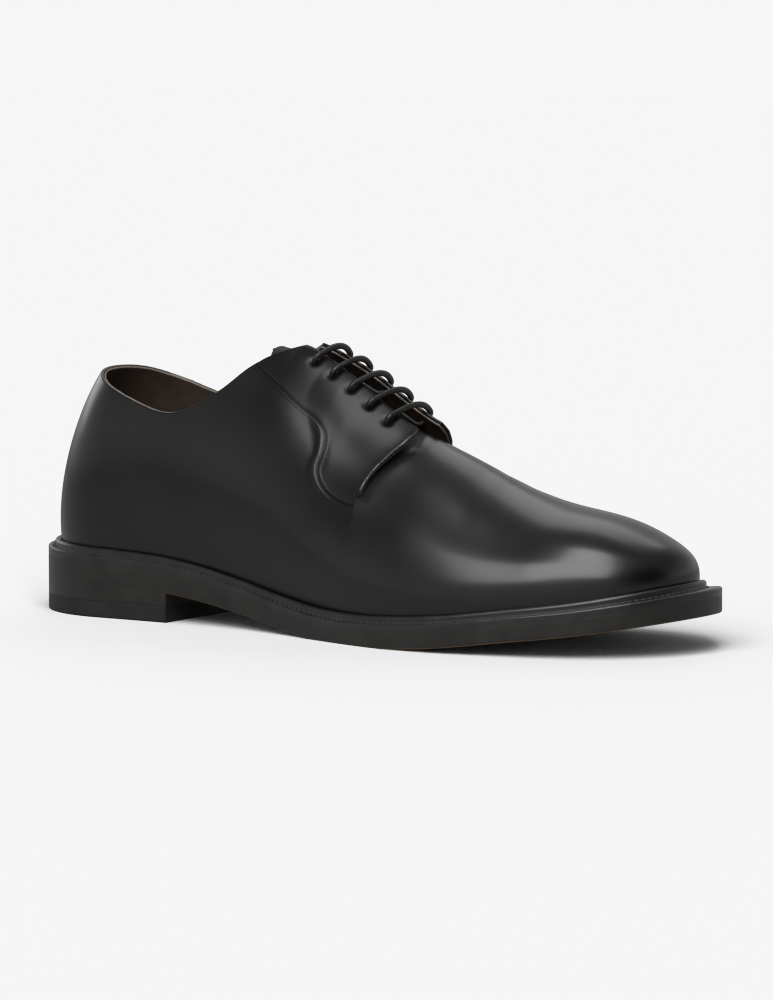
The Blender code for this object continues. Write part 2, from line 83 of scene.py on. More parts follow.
def make_camera():
    """A camera at target + distance * direction(viewer), turned the way that it aims."""
    camera = bpy.data.objects.new("camera", bpy.data.cameras.new("camera"))
    camera.data.sensor_width = SENSOR
    camera.data.lens = FOCAL_PIXELS * SENSOR / IMAGE_HEIGHT
    camera.data.clip_start, camera.data.clip_end = 0.1, 50.0
    place = VIEW_TARGET + direction(*VIEW_FROM) * VIEW_DISTANCE
    stand(camera, axes_towards(*VIEW_AIM), place * MM)
    bpy.context.scene.camera = camera
    return camera


camera = make_camera()
print("lens", round(camera.data.lens, 1), "mm")

# %% [markdown]
# A shoe is made on a last, and here too everything is worked out from one. The feather line is the edge
# where the upper turns under to meet the sole: its half width follows a smooth curve through a few
# stations, and is narrowed to nothing at the heel and the toe as an ellipse is. The crest line runs up the
# back and over the instep to the toe. X runs from heel to toe in millimetres, the outer side of the foot is
# -Y, and side is -1 there and +1 inside.

# %% Sizes of the last
LENGTH = 294.0              # feather line, from the heel's back to the toe's tip
HEEL_ROUND = 36.0           # the outline narrows over this length at the heel, and over the next at the toe
TOE_ROUND = 50.0
HEEL_CREST_SHIFT, HEEL_CREST_REACH = 40.0, 70.0     # lean of the heel's columns over the foot, and its reach
TOE_CREST_SHIFT, TOE_CREST_START = 18.5, 225.0      # the same at the toe, and the station where it starts
PLAN = (  # station, centre line, half width, height of the feather line, welt past the upper
    (0.0, 0.0, 31.5, 29.2, 5.5),
    (35.0, 0.0, 31.5, 28.2, 5.0),
    (70.0, -1.0, 30.5, 26.4, 4.0),
    (110.0, -3.5, 30.0, 19.6, 4.0),
    (150.0, -4.6, 36.0, 12.5, 5.5),
    (190.0, -3.8, 45.0, 12.4, 6.5),
    (215.0, -1.6, 46.5, 14.5, 7.0),
    (240.0, 1.0, 44.0, 17.9, 7.5),
    (265.0, 3.2, 41.0, 21.4, 8.2),
    (294.0, 4.4, 39.0, 27.2, 9.0),
)
CREST = (  # station, height, sideways
    (30.0, 113.0, 0.0),
    (60.0, 124.0, 0.5),
    (90.0, 121.0, 2.0),
    (110.0, 116.0, 3.0),
    (123.0, 112.0, 3.5),
    (134.0, 106.2, 4.0),
    (146.0, 98.8, 4.4),
    (155.0, 92.2, 4.5),
    (164.0, 85.8, 4.5),
    (174.0, 79.2, 4.5),
    (190.0, 72.0, 4.5),
    (215.0, 61.5, 4.0),
    (240.0, 54.5, 4.0),
    (262.0, 50.0, 4.2),
    (276.0, 44.5, 4.4),
)
HANDLES = (  # station, pull of the wall, pull of the crown, lean of the wall in degrees
    (0.0, 0.35, 0.56, 5.0),
    (35.0, 0.50, 0.80, 8.0),
    (70.0, 0.52, 0.80, 9.0),
    (110.0, 0.50, 0.72, 13.0),
    (135.0, 0.47, 0.69, 15.0),
    (150.0, 0.45, 0.61, 16.0),
    (190.0, 0.50, 0.50, 12.0),
    (215.0, 0.52, 0.52, 10.0),
    (240.0, 0.55, 0.56, 8.0),
    (265.0, 0.60, 0.62, 5.0),
    (294.0, 0.62, 0.62, 4.0),
)


def spline(rows, column):
    """A natural cubic curve through one column of a table, against the table's first column."""
    x = np.array([row[0] for row in rows])
    y = np.array([row[column] for row in rows])
    h, n = np.diff(x), len(x)
    a, b = np.eye(n), np.zeros(n)
    for i in range(1, n - 1):
        a[i, i - 1:i + 2] = h[i - 1], 2 * (h[i - 1] + h[i]), h[i]
        b[i] = 6 * ((y[i + 1] - y[i]) / h[i] - (y[i] - y[i - 1]) / h[i - 1])
    bend = np.linalg.solve(a, b)

    def curve(s):
        s = np.asarray(s, float)
        i = np.clip(np.searchsorted(x, s) - 1, 0, n - 2)
        t, k = s - x[i], h[i]
        slope = (y[i + 1] - y[i]) / k - k * (2 * bend[i] + bend[i + 1]) / 6
        return y[i] + t * (slope + t * (bend[i] / 2 + t * (bend[i + 1] - bend[i]) / (6 * k)))

    return curve


def table(rows, column):
    """Straight lines through one column of a table, level past its ends."""
    x = [row[0] for row in rows]
    y = [row[column] for row in rows]
    return lambda s: np.interp(s, x, y)


def ease(t):
    """0 below 0, 1 above 1, and 3t^2 - 2t^3 between."""
    t = np.clip(t, 0, 1)
    return t * t * (3 - 2 * t)


def bell(t, half_width):
    """exp(-(t / half width)^2): 1 in the middle and next to nothing past two half widths."""
    return np.exp(-(t / half_width) ** 2)


centre_at, half_at, seat_at, welt_at = (spline(PLAN, c) for c in (1, 2, 3, 4))
crest_height, crest_side = (spline(CREST, c) for c in (1, 2))
wall_pull, crown_pull, lean_at = (spline(HANDLES, c) for c in (1, 2, 3))
print("half width at the ball", round(float(half_at(215.0)), 1), "mm")

# %% [markdown]
# The last's surface is a family of cubic curves. Each leaves the feather line at a station x, almost
# upright and leaning outward, and arrives level at the crest. A share from 0 to 1 says how far along the
# curve a point lies. The heel's and the toe's columns lean inward over the foot, so they meet the crest at
# another station.

# %% The last as a function of station, side and share
ON_CREST = 0.9995           # shares above this lie on the crest line


def ends_folded(x, side):
    """Stations past either end come back on the other side, so that slopes can be taken across the ends."""
    over = (x < 0) | (x > LENGTH)
    x = np.where(x < 0, -x, np.where(x > LENGTH, 2 * LENGTH - x, x))
    return x, np.where(over, -side, side)


def feather(x, side):
    """A point of the feather line: centre line plus side times half width times an ellipse-like narrowing."""
    heel = np.clip((HEEL_ROUND - x) / HEEL_ROUND, 0, 1)
    toe = np.clip((x - LENGTH + TOE_ROUND) / TOE_ROUND, 0, 1)
    narrow = np.sqrt(np.clip(1 - heel ** 2, 0, 1)) * np.clip(1 - toe ** 2.15, 0, 1) ** (1 / 2.05)
    return np.stack([x, centre_at(x) + side * half_at(x) * narrow, seat_at(x)], -1)


def unit(vectors):
    """Vectors divided by their lengths."""
    return vectors / np.linalg.norm(vectors, axis=-1, keepdims=True)


def outward(x, side):
    """The outline's level normal: the step from the point behind to the one ahead, turned by 90 degrees."""
    step = 0.02
    along = (feather(*ends_folded(x + step, side)) - feather(*ends_folded(x - step, side)))[..., :2]
    level = np.stack([along[..., 1], -along[..., 0], np.zeros(along.shape[:-1])], -1)
    return unit(level * (-side)[..., None])


def crest_station(x):
    """Where a column that starts at x meets the crest."""
    heel = np.clip(1 - x / HEEL_CREST_REACH, 0, 1)
    toe = np.clip((x - TOE_CREST_START) / (LENGTH - TOE_CREST_START), 0, 1)
    return x + HEEL_CREST_SHIFT * heel ** 2 - TOE_CREST_SHIFT * toe ** 2


def slope_of(curve, x):
    """Slope of a curve over the millimetre around x."""
    return curve(x + 0.5) - curve(x - 0.5)


def alike(*values):
    """The values as float arrays of one shape."""
    return np.broadcast_arrays(*(np.asarray(v, float) for v in values))


def last(x, side, share):
    """A cubic Bezier curve from the feather line at share 0 to the crest at share 1, for arrays of any shape.
    It leaves along the wall's lean and arrives level, across the crest line."""
    x, side, share = alike(x, side, share)
    x, side = ends_folded(x, side)
    base, away, over = feather(x, side), outward(x, side), crest_station(x)
    top = np.stack([over, crest_side(over), crest_height(over)], -1)
    along = unit(np.stack([np.ones_like(over), slope_of(crest_side, over), slope_of(crest_height, over)], -1))
    arrive = unit(-(away[..., :1] * along + away[..., 1:2] * np.array([0.0, 1.0, 0.0])))
    rise = (top - base)[..., 2:]
    reach = np.linalg.norm((top - base)[..., :2], axis=-1, keepdims=True)
    lean = np.radians(lean_at(x))[..., None]
    leave = np.sin(lean) * away + np.cos(lean) * np.array([0.0, 0.0, 1.0])
    first = base + leave * wall_pull(x)[..., None] * rise
    second = top - arrive * crown_pull(x)[..., None] * reach
    t = share[..., None]
    s = 1 - t
    return base * s ** 3 + 3 * first * s ** 2 * t + 3 * second * s * t ** 2 + top * t ** 3


def facing(x, side, share):
    """Unit normals of the last: the step along crossed with the step up. On the crest, where the two sides
    meet, the crest line's own slope gives the normal."""
    x, side, share = alike(x, side, share)
    step, climb = 0.05, 0.002
    along = last(x + step, side, share) - last(x - step, side, share)
    up = last(x, side, np.clip(share + climb, 0, 1)) - last(x, side, np.clip(share - climb, 0, 1))
    normal = np.cross(along, up) * (-side)[..., None]
    over = crest_station(ends_folded(x, side)[0])
    slope = slope_of(crest_height, over)
    ridge = np.stack([-slope, np.zeros_like(slope), np.ones_like(slope)], -1)
    return unit(np.where(share[..., None] > ON_CREST, ridge, normal))


middle = np.array([148.75, -1.6806, 0.0])     # this point of the last's own frame is the part's origin
reach = last(np.linspace(0, LENGTH, 60)[:, None], -1, np.linspace(0, 1, 20)[None, :])
print("the last spans", (reach.max(axis=(0, 1)) - reach.min(axis=(0, 1))).round(1), "mm on its outer side")

# %% [markdown]
# The opening and the lacing are lines on the last. The topline is a height for each station. The throat is
# the gap between the two lacing tabs. Each tab ends in front at a slit, which bows forward, so the columns
# near it are moved with it: then one column lies exactly on the tab's edge. The tab stands off the last,
# most at its front corner.

# %% Topline, throat and tabs
THROAT_CENTRE = 1.5
THROAT_TOP = 95.0           # columns in front of this one stop at the throat's edge
SLIT = 168.5                # front edge of the tabs, at the slit's lower end
SLIT_REACH = 30.0           # columns this far from it are moved with it
SLIT_FOOT = 0.44            # share of the column where the slit ends
TAB_RISE = 5.5              # height over the last of the tab's upper front corner
TAB_BACK = 106.0            # station where the tab starts to rise
TAB_CURVE = 1.3             # power of the way up: above 1 the tab leaves the last gently
TOPLINE = (  # station, height of the opening's edge
    (0.0, 100.7),
    (16.0, 98.8),
    (35.0, 93.6),
    (50.0, 89.6),
    (60.0, 86.9),
    (69.0, 85.5),
    (78.0, 87.2),
    (88.0, 92.2),
    (96.0, 97.5),
    (103.0, 104.0),
    (110.0, 108.6),
    (123.0, 113.0),
    (135.0, 116.0),
)
THROAT = (  # station, half width of the gap between the tabs
    (110.0, 5.0),
    (125.0, 5.0),
    (150.0, 6.5),
    (170.0, 7.5),
)
TAB_FOOT = (  # station, share of the column where the tab starts to rise
    (100.0, 0.74),
    (116.0, 0.70),
    (134.0, 0.68),
    (144.0, 0.52),
    (152.0, 0.45),
    (172.0, 0.44),
)
SLIT_LINE = (  # share of the column, station of the tab's front edge
    (0.0, 168.5),
    (0.44, 168.5),
    (0.52, 169.3),
    (0.60, 171.3),
    (0.67, 173.4),
    (0.75, 175.3),
    (0.84, 175.8),
    (0.92, 173.6),
    (1.0, 171.0),
)
topline_at = spline(TOPLINE, 1)
throat_half = table(THROAT, 1)
tab_foot = table(TAB_FOOT, 1)
slit_line = table(SLIT_LINE, 1)


def bowed(x, share):
    """Stations moved so that the column at SLIT follows the tab's front edge, and its neighbours in part."""
    return x + (slit_line(share) - SLIT) * ease(1 - np.abs(x - SLIT) / SLIT_REACH)


def share_where(x, side, found, bow=False):
    """The first share of each column at which found(points, station) is true."""
    fine = np.linspace(0.2, 1, 801)[None, :]
    x = np.atleast_1d(x)[:, None]
    x = bowed(x, fine) if bow else x + 0 * fine
    hit = found(last(x, side, fine), x)
    return np.where(hit.any(axis=1), fine[0][hit.argmax(axis=1)], 1.0)


def throat_share(x, side, wider=0.0, bow=False):
    """Where each column comes within the throat's half width of its centre line."""
    return share_where(x, side, lambda p, s: side * (p[..., 1] - THROAT_CENTRE) < throat_half(s) + wider, bow)


def topline_share(x, side):
    """Where each column reaches the opening's edge."""
    return share_where(x, side, lambda p, s: p[..., 2] > topline_at(s))


def tab_rise(x, share, edge):
    """Height of the tab over the last: TAB_RISE times the way forward times the way up to a power."""
    forward = np.clip((x - TAB_BACK) / (slit_line(share) - TAB_BACK), 0, 1)
    foot = tab_foot(x)
    up = np.clip((share - foot) / np.maximum(edge - foot, 0.02), 0, 1)
    return TAB_RISE * forward * up ** TAB_CURVE


print("topline at the heel", float(topline_at(0.0)), "mm, at its lowest", float(topline_at(69.0)), "mm")

# %% [markdown]
# Every piece here is made of grids of points. A grid of rows and columns becomes four-cornered faces,
# several grids become one mesh, and points that fall on each other are joined, which closes the seams
# between the grids. Normals are then turned outwards, which is safe on a closed body, and edges sharper
# than a chosen angle stay crisp.

# %% Grids into meshes
SAME_PLACE = 2e-6           # metres between points that are one and the same


def grid_faces(rows, columns, start):
    """Corners of each face: the point, its neighbour in the row, and the same two in the next row."""
    first = np.arange(rows - 1)[:, None] * columns + np.arange(columns - 1)[None, :] + start
    return np.stack([first, first + 1, first + columns + 1, first + columns], -1).reshape(-1, 4)


def grid_sizes(grids):
    """Number of points in each grid."""
    return [g.shape[0] * g.shape[1] for g in grids]


def make_piece(name, grids, paints, kinds=None, crisp=40.0, values=None):
    """A closed mesh from grids in millimetres of the last's frame. kinds gives each grid's place in paints,
    crisp is the angle in degrees past which an edge stays sharp, and values are numbers for each point."""
    kinds = kinds or [0] * len(grids)
    starts = np.cumsum([0] + grid_sizes(grids))
    points = (np.concatenate([g.reshape(-1, 3) for g in grids]) - middle) * MM
    faces = np.concatenate([grid_faces(g.shape[0], g.shape[1], start) for g, start in zip(grids, starts)])
    kind_of_face = np.repeat(kinds, [(g.shape[0] - 1) * (g.shape[1] - 1) for g in grids])
    mesh = bpy.data.meshes.new(name)
    mesh.vertices.add(len(points))
    mesh.vertices.foreach_set("co", points.ravel())
    mesh.loops.add(faces.size)
    mesh.loops.foreach_set("vertex_index", faces.ravel())
    mesh.polygons.add(len(faces))
    mesh.polygons.foreach_set("loop_start", np.arange(0, faces.size, 4))
    mesh.polygons.foreach_set("material_index", kind_of_face)
    mesh.update(calc_edges=True)
    for label, numbers in (values or {}).items():
        attribute = mesh.attributes.new(label, "FLOAT", "POINT")
        attribute.data.foreach_set("value", numbers.astype(np.float32))
    work = bmesh.new()
    work.from_mesh(mesh)
    bmesh.ops.remove_doubles(work, verts=work.verts, dist=SAME_PLACE)
    bmesh.ops.dissolve_degenerate(work, edges=work.edges, dist=SAME_PLACE / 2)
    bmesh.ops.recalc_face_normals(work, faces=work.faces)
    loose = sum(1 for edge in work.edges if len(edge.link_faces) != 2)
    work.to_mesh(mesh)
    work.free()
    mesh.shade_smooth()
    mesh.set_sharp_from_angle(angle=np.radians(crisp))
    piece = bpy.data.objects.new(name, mesh)
    bpy.context.scene.collection.objects.link(piece)
    for paint in paints:
        mesh.materials.append(paint)
    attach(piece, "root")
    print(name, len(mesh.polygons), "faces,", loose, "open edges")
    return piece


def rim(outer, inner, away):
    """Half a turn from one line of points to the other: middle + half cos a + away sin a, a from 0 to 180."""
    angle = np.linspace(0, np.pi, 6)[None, :, None]
    centre, half = (outer + inner)[:, None] / 2, (outer - inner)[:, None] / 2
    size = np.linalg.norm(half, axis=-1, keepdims=True)
    return centre + half * np.cos(angle) + away[:, None] * size * np.sin(angle)


print("points closer than", SAME_PLACE / MM, "mm are joined")

# %% [markdown]
# A finish is a Principled shader with noise in its colour and roughness and a bump. All patterns read
# Object coordinates, which are metres here, so a scale of 1000 means one wave for each millimetre. The
# class holds the material while its nodes are added, so that every finish below only states its own values.

# %% Finishes
def new_node(tree, kind, **inputs):
    """A node of a material's or the world's tree, with its inputs set by name."""
    node = tree.nodes.new(kind)
    for label, value in inputs.items():
        node.inputs[label.replace("_", " ")].default_value = value
    return node


def span(tree, source, start, stop, low, high):
    """The source's range from start to stop laid on the range from low to high, level past both ends."""
    node = new_node(tree, "ShaderNodeMapRange", From_Min=start, From_Max=stop, To_Min=low, To_Max=high)
    tree.links.new(source, node.inputs["Value"])
    return node.outputs["Result"]


class Finish:
    """A material with its Principled shader, and short ways to add textures to it."""

    def __init__(self, name, **sockets):
        self.material = bpy.data.materials.new(name)
        self.material.use_nodes = True
        self.tree = self.material.node_tree
        self.links = self.tree.links
        self.shader = self.tree.nodes["Principled BSDF"]
        self.place = new_node(self.tree, "ShaderNodeTexCoord")
        for socket, value in sockets.items():
            self.shader.inputs[socket.replace("_", " ")].default_value = value

    def texture(self, kind, **inputs):
        """A texture node that reads Object coordinates, with its inputs set by name."""
        node = new_node(self.tree, kind, **inputs)
        self.links.new(self.place.outputs["Object"], node.inputs["Vector"])
        return node

    def ramp(self, source, low, high, start=0.0, stop=1.0):
        """A number or colour that goes from low to high as the source goes from start to stop."""
        node = new_node(self.tree, "ShaderNodeValToRGB")
        for element, position, colour in zip(node.color_ramp.elements, (start, stop), (low, high)):
            element.position = position
            element.color = (*colour, 1.0)
        self.links.new(source, node.inputs["Fac"])
        return node.outputs["Color"]

    def number(self, label):
        """A number stored on the mesh's points."""
        node = new_node(self.tree, "ShaderNodeAttribute")
        node.attribute_name = label
        return node.outputs["Fac"]

    def profile(self, source, points):
        """A section drawn through points of place and height, both from 0 to 1, with eased slopes between."""
        node = new_node(self.tree, "ShaderNodeValToRGB")
        node.color_ramp.interpolation = "EASE"
        elements = node.color_ramp.elements
        while len(elements) < len(points):
            elements.new(0.5)
        for element, (position, height) in zip(elements, points):
            element.position = position
            element.color = (*grey(height), 1.0)
        self.links.new(source, node.inputs["Fac"])
        return node.outputs["Color"]

    def bump(self, height, distance, strength=1.0):
        """Adds a bump after the ones that are there. The height of 0 to 1 stands for distance in metres."""
        node = new_node(self.tree, "ShaderNodeBump", Distance=distance, Strength=strength)
        self.links.new(height, node.inputs["Height"])
        normal = self.shader.inputs["Normal"]
        if normal.is_linked:
            self.links.new(normal.links[0].from_socket, node.inputs["Normal"])
        self.links.new(node.outputs["Normal"], normal)

    def feed(self, socket, source):
        """Links a texture's output to one of the shader's sockets."""
        self.links.new(source, self.shader.inputs[socket])


def grey(value):
    """One value as a colour."""
    return (value, value, value)


CALF_BLACK = 0.0045
POLISH = 0.35                       # weight of the coat of polish
SHINE_IN_PAINTED_SHADE, SHINE_FULL = 0.20, 0.5  # the leather's own mirroring, under full painted shade and without it
SEAM_REACH = 3.0                    # mm to each side of the seam over which its section is drawn
SEAM_DEPTH = 0.001                  # metres that the section's range of 0 to 1 stands for
SEAM_PROFILE = ((0.0, 0.5), (0.16, 0.5), (0.32, 0.6), (0.41, 0.5), (0.475, 0.1), (0.525, 0.1), (0.59, 0.5),
                (0.68, 0.56), (0.84, 0.5), (1.0, 0.5))


def calf(name, worked=False, coat=POLISH, rough=0.26):
    """Polished box calf: nearly black, with a pebble finer than a millimetre, a soft sheen and a thin coat.
    A worked skin carries two numbers on its points: seam, its distance from the seam in mm, and a painted
    sheen from 0 to 1, which paints shade beside the seam and on the tab by thinning the coat and the
    mirroring."""
    skin = Finish(name, Coat_Weight=coat, Coat_Roughness=0.18, Specular_IOR_Level=SHINE_FULL)
    cloud = skin.texture("ShaderNodeTexNoise", Scale=35.0, Detail=1.0)
    skin.feed("Base Color", skin.ramp(cloud.outputs["Fac"], grey(CALF_BLACK * 0.6), grey(CALF_BLACK * 1.4)))
    skin.feed("Roughness", skin.ramp(cloud.outputs["Fac"], grey(rough - 0.02), grey(rough + 0.08)))
    pebble = skin.texture("ShaderNodeTexVoronoi", Scale=1500.0)
    skin.bump(pebble.outputs["Distance"], 0.00001, 0.10)
    waves = skin.texture("ShaderNodeTexNoise", Scale=260.0, Detail=4.0)
    skin.bump(waves.outputs["Fac"], 0.00003, 0.10)
    if worked:
        # Painted shade and painted highlight: a number on the points, from 0 to 1, thins the coat of polish
        # and the mirroring; the seam's distance draws the groove as a bump
        painted_sheen, seam = skin.number("painted_sheen"), skin.number("seam")
        skin.feed("Coat Weight", span(skin.tree, painted_sheen, 0.0, 1.0, 0.0, coat))
        skin.feed("Specular IOR Level", span(skin.tree, painted_sheen, 0.0, 1.0, SHINE_IN_PAINTED_SHADE, SHINE_FULL))
        section = skin.profile(span(skin.tree, seam, -SEAM_REACH, SEAM_REACH, 0.0, 1.0), SEAM_PROFILE)
        skin.bump(section, SEAM_DEPTH)
    return skin


def waxed_finish(name, colour, rough, grain, depth, coat=0.0):
    """Black waxed thread, blackened edges and rubber: a cloudy dark colour, uneven gloss and a fine grain."""
    skin = Finish(name, Coat_Weight=coat, Coat_Roughness=0.3, Specular_IOR_Level=0.45)
    cloud = skin.texture("ShaderNodeTexNoise", Scale=120.0, Detail=5.0)
    low, high = (tuple(c * k for c in colour) for k in (0.7, 1.4))
    skin.feed("Base Color", skin.ramp(cloud.outputs["Fac"], low, high, 0.3, 0.7))
    skin.feed("Roughness", skin.ramp(cloud.outputs["Fac"], grey(rough - 0.06), grey(rough + 0.08), 0.3, 0.7))
    fine = skin.texture("ShaderNodeTexNoise", Scale=grain, Detail=4.0, Roughness=0.6)
    skin.bump(fine.outputs["Fac"], depth, 0.5)
    return skin


def soft_leather(name, low, high, rough=0.6):
    """Lining and sock leather: matt, with a fine nap and uneven colour."""
    skin = Finish(name, Specular_IOR_Level=0.35)
    cloud = skin.texture("ShaderNodeTexNoise", Scale=90.0, Detail=6.0, Roughness=0.65)
    skin.feed("Base Color", skin.ramp(cloud.outputs["Fac"], low, high, 0.3, 0.7))
    skin.feed("Roughness", skin.ramp(cloud.outputs["Fac"], grey(rough - 0.05), grey(rough + 0.08)))
    nap = skin.texture("ShaderNodeTexNoise", Scale=1800.0, Detail=3.0)
    skin.bump(nap.outputs["Fac"], 0.00008, 0.5)
    return skin


worked_calf = calf("worked_calf", worked=True)
dull_calf = calf("dull_calf", coat=0.0, rough=0.5)
brown_lining = soft_leather("brown_lining", (0.035, 0.022, 0.016), (0.062, 0.042, 0.032))
cut_edge = soft_leather("cut_edge", (0.16, 0.125, 0.1), (0.25, 0.2, 0.165), 0.7)
print("finishes", [one.material.name for one in (worked_calf, dull_calf, brown_lining, cut_edge)])

# %% [markdown]
# The upper's leather. One row of columns runs round the shoe. Behind the slit they belong to the quarters,
# which end above in the topline and the throat; in front of it to the vamp, which closes over the toe.
# Below the slit's end both are one skin. Above it the vamp runs on under the tab, so the slit is a real
# overlap with a dark gap.

# %% Columns and rows of the upper
LEATHER = 1.3               # thickness of the outer leather
UNDERLAP = 12.0             # vamp under the tab
VAMP_DIVE = 4.4             # its back edge lies this deep, just over the tongue
CROWN_SHARE = 0.86          # row that follows on from the throat's edge over the toe
SKIRT = 2.3                 # upper below the feather line, behind the welt's bead
EDGE_DROP = 0.75            # folded edge of the leather under the topline, so that its rounding ends on it
COLUMN_TALL = 115.0         # mm, about a column's whole length
ROW_LENGTHS = (43.0, 7.6, 54.0)     # mm of it below the slit, just under the slit's end, and above
CLOSE_FROM = 0.85           # part of the way up to the slit's end where the rows move closer together
CROWN_LENGTH = 22.0         # mm from the row that follows the throat to the crest
TAB_COLUMNS = 98.0          # station from which the columns stand close, for the tab
BALL_LENGTH = 75.0          # mm from the slit to the round of the toe
EDGE_FADE = 12.0            # points over which the tab's folded edge grows from the slit's end
CURL, CURL_REACH = 0.35, 3.0            # mm that the tab's edge curls up, and over what length
DIP, DIP_WIDTH = 1.1, 2.6               # mm that the vamp dips in front of the slit, and over what width
SLIT_START = 0.04                       # share over which both begin, above the slit's end


def heel_stations(count):
    """Stations round the heel, close together at its back: R (1 - cos a) for even angles up to 90 degrees."""
    return HEEL_ROUND * (1 - np.cos(np.linspace(0, np.pi / 2, count, endpoint=False)))


def toe_stations(count):
    """Stations round the toe, close together at its tip: length - R (1 - sin a)."""
    return LENGTH - TOE_ROUND + TOE_ROUND * np.sin(np.linspace(0, np.pi / 2, count))


def columns_of_upper(pitch):
    """Stations of the quarters, of the vamp under the tab and of the vamp, about pitch mm apart."""
    heel = heel_stations(int(HEEL_ROUND * 1.6 / pitch))
    count = int((TAB_COLUMNS - HEEL_ROUND) / (1.3 * pitch))
    waist = np.linspace(HEEL_ROUND, TAB_COLUMNS, count, endpoint=False)
    tab = np.linspace(TAB_COLUMNS, SLIT, int((SLIT - TAB_COLUMNS) / (0.55 * pitch)) + 1)
    under = np.linspace(SLIT - UNDERLAP, SLIT, int(UNDERLAP / pitch) + 1)
    ball = np.linspace(SLIT, LENGTH - TOE_ROUND, int(BALL_LENGTH / pitch), endpoint=False)
    toe = toe_stations(int(TOE_ROUND * 1.6 / pitch))
    return np.concatenate([heel, waist, tab]), under, np.concatenate([ball, toe])


def rows_of_upper(pitch):
    """Parts of the way up to the slit's foot, closer together just under it, and on from it to the edge."""
    low, close, high = ROW_LENGTHS
    rows = np.concatenate([np.linspace(0, CLOSE_FROM, int(low / (1.3 * pitch)), endpoint=False),
                           np.linspace(CLOSE_FROM, 1, int(close / (0.7 * pitch)), endpoint=False)])
    return rows, np.linspace(0, 1, int(high / (0.85 * pitch)))


def shares(edge, rows):
    """Shares of rows that rise to SLIT_FOOT, or to 0.7 of a low column, and then on to each column's edge."""
    low, high = rows
    foot = np.minimum(SLIT_FOOT, 0.7 * edge)
    return np.concatenate([foot * low, foot + (edge - foot) * high], axis=1)


def slit_shape(x, share, part):
    """Near the slit the tab's edge curls up a little, and the vamp in front and under it dips."""
    above = ease((share - SLIT_FOOT) / SLIT_START)
    if part == "quarter":
        return CURL * above * np.exp(-(SLIT - x) / CURL_REACH)
    ahead = np.clip(x - SLIT, 0, None)
    behind = np.clip((SLIT - x) / UNDERLAP, 0, 1)
    return -above * (DIP * bell(ahead, DIP_WIDTH) + (VAMP_DIVE - DIP) * ease(behind))


def skin(part, x, side, share, edge, depth, relief):
    """Points of one skin: the last, moved along its normal by the tab's rise, the slit's shape and relief."""
    station = bowed(x, share)
    lift = slit_shape(x, share, part) + depth
    if part == "quarter":
        lift = lift + tab_rise(station, share, edge)
    place, normal = last(station, side, share), facing(station, side, share)
    if relief is not None:
        lift = lift + relief(place, station, side, share, part)
    return place + normal * lift[..., None]


def upper_shell(pitch, outside, inside, drop, relief=None):
    """Grids of one closed shell of the upper between two depths. drop lowers its edge at the opening. Beside
    the grids come two lists of 0 or 1 for each of them: is it a folded edge, and is it on a quarter."""
    quarter, under, vamp = columns_of_upper(pitch)
    rows = rows_of_upper(pitch)
    foot = len(rows[0])
    grids, kinds, behind = [], [], []

    def add(grid, kind=0, quarters=0):
        grids.append(grid)
        kinds.append(kind)
        behind.append(quarters)

    def pair(part, side, x, share, edge=None):
        return [skin(part, x[:, None], side, share, edge, depth, relief) for depth in (outside, inside)]

    for side in (-1, 1):
        throat = throat_share(quarter, side, bow=True)
        top = topline_share(quarter, side) - drop / COLUMN_TALL
        edge = np.where(quarter < THROAT_TOP, top, np.minimum(top, throat))[:, None]
        share = shares(edge, rows)
        out, within = pair("quarter", side, quarter, share, edge)
        blend = np.clip((vamp - SLIT) / (TOE_CREST_START - SLIT), 0, 1)
        held = edge[-1, 0] + (CROWN_SHARE - edge[-1, 0]) * blend[:, None]
        over = np.linspace(0, 1, int(CROWN_LENGTH / pitch))[None, 1:]
        front = np.concatenate([shares(held, rows), held + (1 - held) * over], axis=1)
        back = front[0, foot:]
        v_out, v_in = pair("vamp", side, vamp, front)
        u_out, u_in = pair("vamp", side, under, back[None, :])
        low = np.linspace(SKIRT, 0, 3)[:-1, None] * np.array([0.0, 0.0, 1.0])
        out, v_out = (np.concatenate([g[:, :1] - low, g], axis=1) for g in (out, v_out))
        within, v_in = [np.concatenate([g[:, :1] * [1, 1, 0] + o[:, :2] * [0, 0, 1], g], axis=1)
                        for g, o in ((within, out), (v_in, v_out))]
        add(out, quarters=1)
        add(within, quarters=1)
        for grid in (v_out, u_out, v_in, u_in):
            add(grid)
        # The folded edge goes along the opening and down the tab's front, and turns the corner between them
        up = unit(out[:, -1] - out[:, -2])
        ahead = unit(out[-1] - out[-2])[foot + 2:]
        ahead *= ease(np.arange(len(ahead)) / EDGE_FADE)[:, None]
        up[-1] = ahead[-1] = unit(up[-1] + ahead[-1])
        add(rim(out[:, -1], within[:, -1], up), 1, quarters=1)
        add(rim(out[-1, foot + 2:], within[-1, foot + 2:], ahead), 1)
        # The other edges are hidden and stay flat
        for one, other in ((u_out[0], u_in[0]), (u_out[:, 0], u_in[:, 0]), (out[:, 0], within[:, 0]),
                           (v_out[:, 0], v_in[:, 0])):
            add(rim(one, other, np.zeros_like(one)))
    return grids, kinds, behind


print("leather", LEATHER, "mm, vamp under the tab", UNDERLAP, "mm")

# %% [markdown]
# The tab is joined to the quarter by a stitched seam that runs down from the topline, turns upright and
# curves round to the slit's end. It is a line on the last. Every point of the leather stores its distance
# from that line, and the finish draws the groove from it, which stays sharp on a coarse mesh. The swelling
# beside it is real form.

